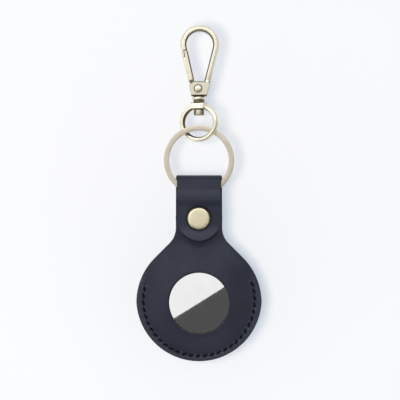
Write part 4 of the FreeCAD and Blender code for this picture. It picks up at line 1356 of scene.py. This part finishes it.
def wall_material():
    """White paper that shows its front alone, with a glow a little brighter away from the part: a painted
    shade round the part.
    """
    made, tree, shader = new_material("backdrop", **{
        "Emission Color": PAPER_GLOW, "Specular IOR Level": 0.0})
    dress(tree, shader, PAPER, 1.0)
    middle = point(0, WALL_Y, WALL_MIDDLE)
    away = add_node(tree, "VectorMath", object_coordinates(tree), middle, operation="DISTANCE")
    # Painted shade round the part: the glow is a little weaker near it.
    glow = remap(tree, away.outputs["Value"], 0.045, 0.105, 1.0, 1.06)
    put(tree, shader.inputs["Emission Strength"], glow)
    facing = add_node(tree, "NewGeometry").outputs["Backfacing"]
    clear = add_node(tree, "BsdfTransparent").outputs["BSDF"]
    mixed = add_node(tree, "MixShader", facing, shader.outputs["BSDF"], clear)
    put(tree, tree.nodes["Material Output"].inputs["Surface"], mixed.outputs["Shader"])
    return made


def add_wall():
    """Backdrop well behind the part, seen by the camera alone."""
    corners = rectangle((-WALL_REACH, WALL_MIDDLE - WALL_REACH), (WALL_REACH, WALL_MIDDLE + WALL_REACH))
    unseen = ("diffuse", "glossy", "transmission", "shadow")
    add_plane("backdrop", [(x, WALL_Y, z) for x, z in corners], wall_material(), unseen)


def add_card(name, level, corners):
    """A grey card that only reflections see."""
    made, tree, _ = new_material(name)
    glow = add_node(tree, "Emission", Color=(level, level, level * CARD_BLUE)).outputs["Emission"]
    put(tree, tree.nodes["Material Output"].inputs["Surface"], glow)
    add_plane(name, corners, made, ("camera", "diffuse", "transmission", "shadow"))


def add_sky():
    """Even studio light, with a level of its own for camera and reflections."""
    world = bpy.data.worlds.new("studio")
    scene.world = world
    world.use_nodes = True
    tree = world.node_tree
    path = add_node(tree, "LightPath")
    levels = [
        ("Is Glossy Ray", (SKY_GLOSSY,) * 3),
        ("Is Transmission Ray", (SKY_GLOSSY,) * 3),
        ("Is Camera Ray", GROUND),
    ]
    colour = (SKY_DIFFUSE,) * 3
    for ray, seen in levels:
        colour = mix_colours(tree, path.outputs[ray], colour, seen)
    put(tree, tree.nodes["Background"].inputs["Color"], colour)


LAMP_PLACE = (-56, -556, -80)
LAMP_AIM = (0, 0, -66)
LAMP_SIZE = 110
LAMP_POWER = 1.83


def add_lamp():
    """A soft round lamp by the camera, unseen in reflections."""
    data = bpy.data.lights.new("front", "AREA")
    data.shape = "DISK"
    data.size = LAMP_SIZE * MM
    data.energy = LAMP_POWER
    lamp = bpy.data.objects.new("front", data)
    scene.collection.objects.link(lamp)
    lamp.location = point(*LAMP_PLACE)
    lamp.rotation_euler = (point(*LAMP_AIM) - point(*LAMP_PLACE)).to_track_quat("-Z", "Y").to_euler()
    lamp.visible_glossy = False


add_wall()
add_sky()
add_lamp()

CARD_MIDDLE = -147
DARK_SLOPE = tan(radians(32))
DARK_ENDS = [(x, CARD_MIDDLE + x * DARK_SLOPE) for x in (-600, 420)]
DARK_CARD = [DARK_ENDS[0], (-600, -660), (420, -660), DARK_ENDS[1]]
RIM_CARD = arc((0, CARD_MIDDLE), 160, 25, -55, 30) + arc((0, CARD_MIDDLE), 320, -55, 25, 60)
CARDS = [
    ("upper_card", 2.8, -450, rectangle((-780, 116), (260, 290))),
    ("left_card", 1.5, -450, rectangle((-780, -280), (-380, 60))),
    ("dark_card", 0.085, -500, DARK_CARD),
    ("rim_card", 0.7, -480, RIM_CARD),
]
add_card("right_card", 0.60, [(420, y, z) for y, z in rectangle((-900, -700), (-40, 500))])
for name, level, y, outline in CARDS:
    add_card(name, level, [(x, y, z) for x, z in outline])
